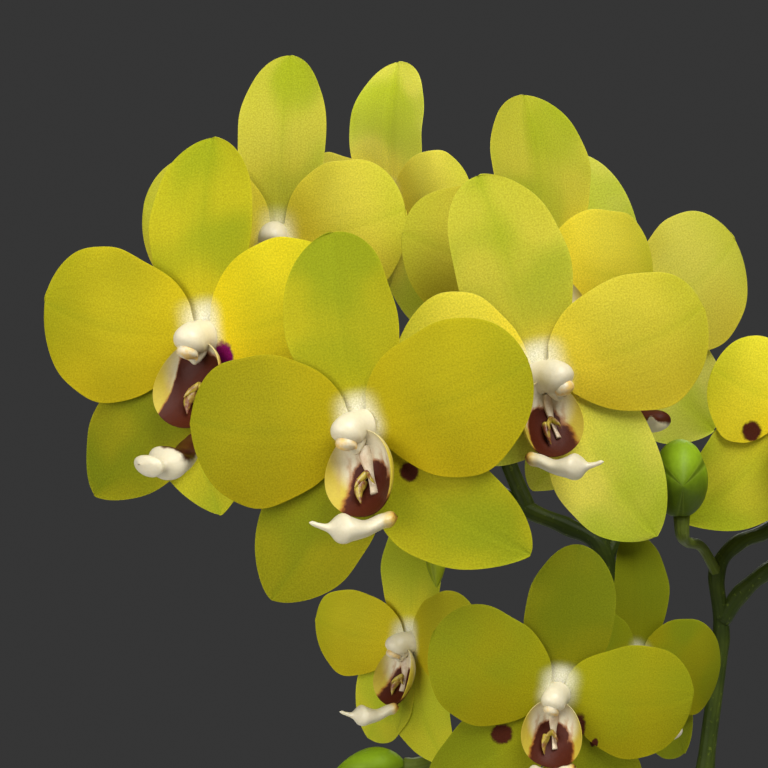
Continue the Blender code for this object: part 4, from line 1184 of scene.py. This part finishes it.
def bark_shells(material, count):
    """A bed that fills the pot, with loose chips of bark on top.

    A chip is a small sphere pressed into a slab: each point p becomes
    sign(p) |p|^0.45, stretched, roughened and turned.
    """
    random = np.random.default_rng(7)
    inset = POT_WALL + BED_GAP
    low, side, shoulder = POT_FLOOR + BED_GAP, BED_TOP - 3.0, BED_TOP - 1.0
    bed = turned_shell(((0.0, low), (pot_radius(low) - inset, low), (pot_radius(side) - inset, side),
                        (0.82 * pot_radius(shoulder), shoulder), (0.0, BED_TOP)), 72, material)
    bed.fields = {"tone": np.full(len(bed.points), 0.15)}
    shells = [bed]
    rows, columns = 5, 8
    tilt = np.linspace(0.0, np.pi, rows)[:, None]
    angle = round_angles(columns)
    ball = np.stack((np.sin(tilt) * np.cos(angle), np.sin(tilt) * np.sin(angle),
                     np.cos(tilt) + 0.0 * angle), axis=-1).reshape(-1, 3)
    quads = grid_quads(rows, columns, closed=True)
    pole = np.abs(ball[:, 2:]) > 0.999
    for index in range(count):
        distance = 11.0 + 41.5 * math.sqrt(random.random())
        turn = 2.0 * math.pi * random.random()
        size = np.array([random.uniform(3.2, 6.8), random.uniform(2.2, 4.4), random.uniform(0.9, 2.0)])
        chip = np.sign(ball) * np.abs(ball) ** 0.45 * size
        rough = 1.0 + 0.22 * (random.random((len(ball), 1)) - 0.5)
        chip = chip * np.where(pole, 1.0, rough)
        spin = Euler((random.uniform(-0.5, 0.5), random.uniform(-0.5, 0.5), random.uniform(0.0, 6.28)))
        height = BED_TOP - 0.4 + 2.6 * random.random() + 1.2 * (1.0 - distance / 55.0)
        place = (distance * math.cos(turn), distance * math.sin(turn), height)
        shell = Shell(chip, quads, material, tone=np.full(len(chip), random.random()))
        shells.append(shell.moved(np.array(spin.to_matrix()), place))
    return shells


def crown_shells(stem, sheath):
    """The short stem, wrapped in the dry and green sheaths of old and new leaves."""
    profile = rounded_profile(((0.0, BED_TOP, 0.0), (8.2, BED_TOP, 1.0), (8.6, 126.0, 3.0),
                               (5.6, 134.0, 2.0), (0.0, 136.0, 0.0)))
    shells = [turned_shell(profile, 48, stem)]
    u = shares(24)[:, None]
    v = np.linspace(-1.0, 1.0, 31)[None, :]
    # Sheaths: turn in radians, height of the foot and length.
    sheaths = ((0.0, 103.0, 15.0), (3.14, 105.0, 17.0), (0.3, 112.0, 19.0), (3.3, 116.0, 18.0))
    for index, (turn, low, tall) in enumerate(sheaths):
        angle = turn + 1.75 * v * (1.0 - 0.35 * u)
        out = 8.75 + 0.12 * index + 0.5 * u + 0.25 * np.cos(3.0 * v)
        top = low + tall * u * (1.0 - 0.35 * v ** 2)
        front = np.stack((out * np.cos(angle), out * np.sin(angle), top + 0.0 * angle), axis=-1)
        shells.append(sheet_shell(front, -0.5 * border_fade(u, v, 10.0, 8.0), sheath,
                                  along=u + 0.0 * v, across=v + 0.0 * u))
    return shells


def fleshy_tone_and_painted_light(flower):
    """Lips and columns follow their flower's tone, which is partly painted light and shade, only a little."""
    return 0.85 + 0.15 * flower.tone


def build_flower_piece(flower, group, shells, size):
    """Turn the shells with their flower, put them in its place and build them as one piece."""
    spin = flower_turn(flower) * size
    build_piece("%s_%s" % (group, flower.label), [shell.moved(spin, flower.place) for shell in shells],
                ["flower_%s_%s" % (flower.label, group)])


def build_tepals(kind, parts):
    """Build the sepals or the petals of every flower."""
    for flower in FLOWERS:
        finish = tepal_finish("%s %s" % (kind, flower.label), flower, kind == "petal")
        shells = [tepal_shell(flower, part, finish) for part in parts]
        build_flower_piece(flower, kind + "s", shells, 1.0)


# ---------------------------------------------------------------- operators

class ORCHID_OT_pot(bpy.types.Operator):
    """Turn the glazed pot"""
    bl_idname = "orchid.pot"
    bl_label = "Pot"

    def execute(self, context):
        build_piece("glazed_pot", [pot_shell(glaze_finish("satin glaze"))], ["pot"])
        return {"FINISHED"}


class ORCHID_OT_bark(bpy.types.Operator):
    """Fill the pot with bark and scatter chips on it"""
    bl_idname = "orchid.bark"
    bl_label = "Bark"

    def execute(self, context):
        shells = bark_shells(bark_finish("bark chips"), settings().chip_count)
        piece = build_piece("bark_chips", shells, ["bark"])
        piece.data.shade_flat()
        return {"FINISHED"}


class ORCHID_OT_crown(bpy.types.Operator):
    """Build the short stem and its leaf sheaths"""
    bl_idname = "orchid.crown"
    bl_label = "Crown"

    def execute(self, context):
        look = settings()
        stem = plain_finish("crown stem", look.leaf_light, scaled(look.leaf_colour, 1.4), 160.0)
        shells = crown_shells(stem, leaf_finish("leaf sheath", False))
        build_piece("crown_with_sheaths", shells, ["crown"])
        return {"FINISHED"}


class ORCHID_OT_leaves(bpy.types.Operator):
    """Build the strap leaves"""
    bl_idname = "orchid.leaves"
    bl_label = "Leaves"

    def execute(self, context):
        finish = leaf_finish("waxy leaf", True)
        for seed, (name, *shape) in enumerate(LEAVES):
            build_piece("waxy_" + name, [leaf_shell(*shape, finish, 1.9 * seed)], [name])
        return {"FINISHED"}


class ORCHID_OT_roots(bpy.types.Operator):
    """Build the aerial roots"""
    bl_idname = "orchid.roots"
    bl_label = "Roots"

    def execute(self, context):
        finish = root_finish("silver root skin")
        for name, points in ROOTS:
            path = smooth_path([polar(*point) for point in points], 1.2)
            s = shares(len(path))
            lumps = 1.0 + 0.05 * np.sin(31.0 * s) + 0.035 * np.sin(73.0 * s + 1.0)
            tip = np.sqrt(np.clip(1.0 - np.clip((s - 0.93) / 0.07, 0.0, 1.0) ** 2, 0.02, 1.0))
            radius = ROOT_RADIUS * (1.0 - 0.2 * s) * lumps * tip
            build_piece("silver_" + name, [sweep_shell(path, radius, 28, finish)], [name])
        return {"FINISHED"}


class ORCHID_OT_spikes(bpy.types.Operator):
    """Build the two branched flower spikes"""
    bl_idname = "orchid.spikes"
    bl_label = "Spikes"

    def execute(self, context):
        old, young = spike_finish("spike skin", 0.0), spike_finish("young pedicel", 0.75)
        for name, stem, *twigs in (("spike_left", LEFT_STEM, LEFT_RISE, LEFT_TWIG, LEFT_LOW),
                                   ("spike_right", RIGHT_STEM, RIGHT_LOW)):
            branches = [(stem, SPIKE_RADIUS, TWIG_RADIUS)]
            branches += [(twig, FORK_RADIUS, TWIG_RADIUS) for twig in twigs]
            build_piece("branched_" + name, spike_shells(name, branches, old, young), [name])
        return {"FINISHED"}


class ORCHID_OT_buds(bpy.types.Operator):
    """Build the closed buds"""
    bl_idname = "orchid.buds"
    bl_label = "Buds"

    def execute(self, context):
        skin, young = bud_finish("bud skin"), bud_finish("young bud skin", 0.75)
        for name, foot, direction, length, radius in BUDS:
            place, ahead, long, tall, twist = foot, direction, length, 1.0, 0.0
            if name in NODDING:
                ahead, long, tall, twist = NODDING[name]
                middle = np.asarray(foot) + 0.48 * length * unit(np.asarray(direction))
                place = middle - 0.45 * long * unit(np.asarray(ahead))
            turn = np.array(Vector(ahead).to_track_quat("Z", "Y").to_matrix())
            finish = young if name == "bud_small" else skin
            shell = bud_shell(long, radius, tall, twist, finish).moved(turn, place)
            # Painted light: a bud is lighter with its height, as if lit from above.
            height = shell.points[:, 2]
            shell.fields["sun"] = (height - height.min()) / np.ptp(height)
            build_piece("closed_" + name, [shell], [name])
        return {"FINISHED"}


class ORCHID_OT_sepals(bpy.types.Operator):
    """Build each flower's whorl of three sepals"""
    bl_idname = "orchid.sepals"
    bl_label = "Sepals"

    def execute(self, context):
        build_tepals("sepal", SEPALS)
        return {"FINISHED"}


class ORCHID_OT_petals(bpy.types.Operator):
    """Build each flower's pair of petals"""
    bl_idname = "orchid.petals"
    bl_label = "Petals"

    def execute(self, context):
        build_tepals("petal", PETALS)
        return {"FINISHED"}


class ORCHID_OT_lips(bpy.types.Operator):
    """Build each flower's lip: bowl, callus and front lobe"""
    bl_idname = "orchid.lips"
    bl_label = "Lips"

    def execute(self, context):
        for flower in FLOWERS:
            label, turn, tone = flower.label, flower.lip_turn, fleshy_tone_and_painted_light(flower)
            hollow, roll = HOLLOW.get(label, 0.0), LIP_ROLLS.get(label, 0.0)
            throat = bowl_finish("throat " + label, tone, hollow)
            cream = fleshy_finish("front lobe " + label, tone, LOBE_BLUSH.get(label, (0.02, 0.1)))
            ridge = plain_finish("callus " + label, scaled((0.70, 0.60, 0.42), tone), (0.52, 0.38, 0.24),
                                 420.0, roughness=0.4, depth=0.08)
            tooth = plain_finish("callus tooth " + label, scaled((0.46, 0.36, 0.04), tone),
                                 (0.16, 0.04, 0.015), 520.0, roughness=0.35, depth=0.08)
            callus = callus_shells(ridge, tooth)[1 if hollow else 0:]
            shells = [bowl_shell(throat, 0.25 * turn)]
            shells += [shell.moved(turning(z=0.12 * turn), np.zeros(3)) for shell in callus]
            shells.append(midlobe_shell(cream, turn, -flower.lean - roll, **LOBES.get(label, {})))
            shells = [shell.moved(turning(y=roll), np.zeros(3)) for shell in shells]
            build_flower_piece(flower, "lip", shells, flower.size * LIP_SIZES.get(label, 1.0))
        return {"FINISHED"}


class ORCHID_OT_columns(bpy.types.Operator):
    """Build each flower's column and anther cap"""
    bl_idname = "orchid.columns"
    bl_label = "Columns"

    def execute(self, context):
        look = settings()
        for flower in FLOWERS:
            tone = fleshy_tone_and_painted_light(flower)
            cream = fleshy_finish("column " + flower.label, tone, None)
            cap = plain_finish("anther cap " + flower.label, scaled(look.cap_colour, tone),
                               scaled(look.cream_colour, 0.95 * tone), 330.0, roughness=0.4, depth=0.08)
            shells = column_shells(cream, cap, 0.5 * flower.lip_turn)
            build_flower_piece(flower, "column", shells, flower.size)
        return {"FINISHED"}


class ORCHID_OT_stage(bpy.types.Operator):
    """Lay the floor, hang the soft lights and set the camera"""
    bl_idname = "orchid.stage"
    bl_label = "Stage"

    def execute(self, context):
        look = settings()
        scene = context.scene
        floor_finish = plain_finish("pale floor", look.floor_colour, scaled(look.floor_colour, 0.94), 6.0,
                                    roughness=0.7, depth=0.05)
        mesh = bpy.data.meshes.new("floor")
        work = bmesh.new()
        bmesh.ops.create_circle(work, cap_ends=True, segments=96, radius=FLOOR_RADIUS)
        work.to_mesh(mesh)
        work.free()
        mesh.materials.append(floor_finish)
        floor = bpy.data.objects.new("floor", mesh)
        scene.collection.objects.link(floor)
        floor.location.z = CAD_BOX[0][2]

        world = bpy.data.worlds.new("studio")
        world.use_nodes = True
        world.node_tree.nodes["Background"].inputs[0].default_value = (*grey(look.backdrop), 1.0)
        scene.world = world
        for name, place, size, share in LIGHTS:
            light = bpy.data.lights.new(name, "AREA")
            light.shape = "DISK"
            light.size = size
            light.energy = share * (look.key_power if name == "key" else look.fill_power)
            lamp = bpy.data.objects.new(name, light)
            scene.collection.objects.link(lamp)
            lamp.location = place
            lamp.rotation_euler = (Vector(LIGHT_AIM) - Vector(place)).to_track_quat("-Z", "Y").to_euler()

        lens = bpy.data.cameras.new("camera")
        lens.lens = CAMERA_LENS
        lens.sensor_width = CAMERA_SENSOR
        camera = bpy.data.objects.new("camera", lens)
        scene.collection.objects.link(camera)
        camera.location = CAMERA_PLACE
        camera.rotation_euler = (math.radians(90.0), 0.0, 0.0)
        scene.camera = camera
        scene.view_settings.view_transform = "Standard"
        return {"FINISHED"}


OPERATORS = (
    ORCHID_OT_stage, ORCHID_OT_pot, ORCHID_OT_bark, ORCHID_OT_crown, ORCHID_OT_leaves, ORCHID_OT_roots,
    ORCHID_OT_spikes, ORCHID_OT_buds, ORCHID_OT_sepals, ORCHID_OT_petals, ORCHID_OT_lips,
    ORCHID_OT_columns,
)


class ORCHID_PT_panel(bpy.types.Panel):
    """Lists the orchid's settings and pieces"""
    bl_idname = "ORCHID_PT_panel"
    bl_label = "Moth Orchid"
    bl_space_type = "VIEW_3D"
    bl_region_type = "UI"
    bl_category = "Orchid"

    def draw(self, context):
        look = context.scene.orchid
        for name in OrchidSettings.__annotations__:
            self.layout.prop(look, name)
        for operator in OPERATORS:
            self.layout.operator(operator.bl_idname)


CLASSES = (OrchidSettings, *OPERATORS, ORCHID_PT_panel)


def register():
    for one in CLASSES:
        bpy.utils.register_class(one)
    bpy.types.Scene.orchid = bpy.props.PointerProperty(type=OrchidSettings)


def unregister():
    del bpy.types.Scene.orchid
    for one in reversed(CLASSES):
        bpy.utils.unregister_class(one)


def main():
    register()
    for operator in OPERATORS:
        group, name = operator.bl_idname.split(".")
        getattr(getattr(bpy.ops, group), name)()


if __name__ == "__main__":
    main()
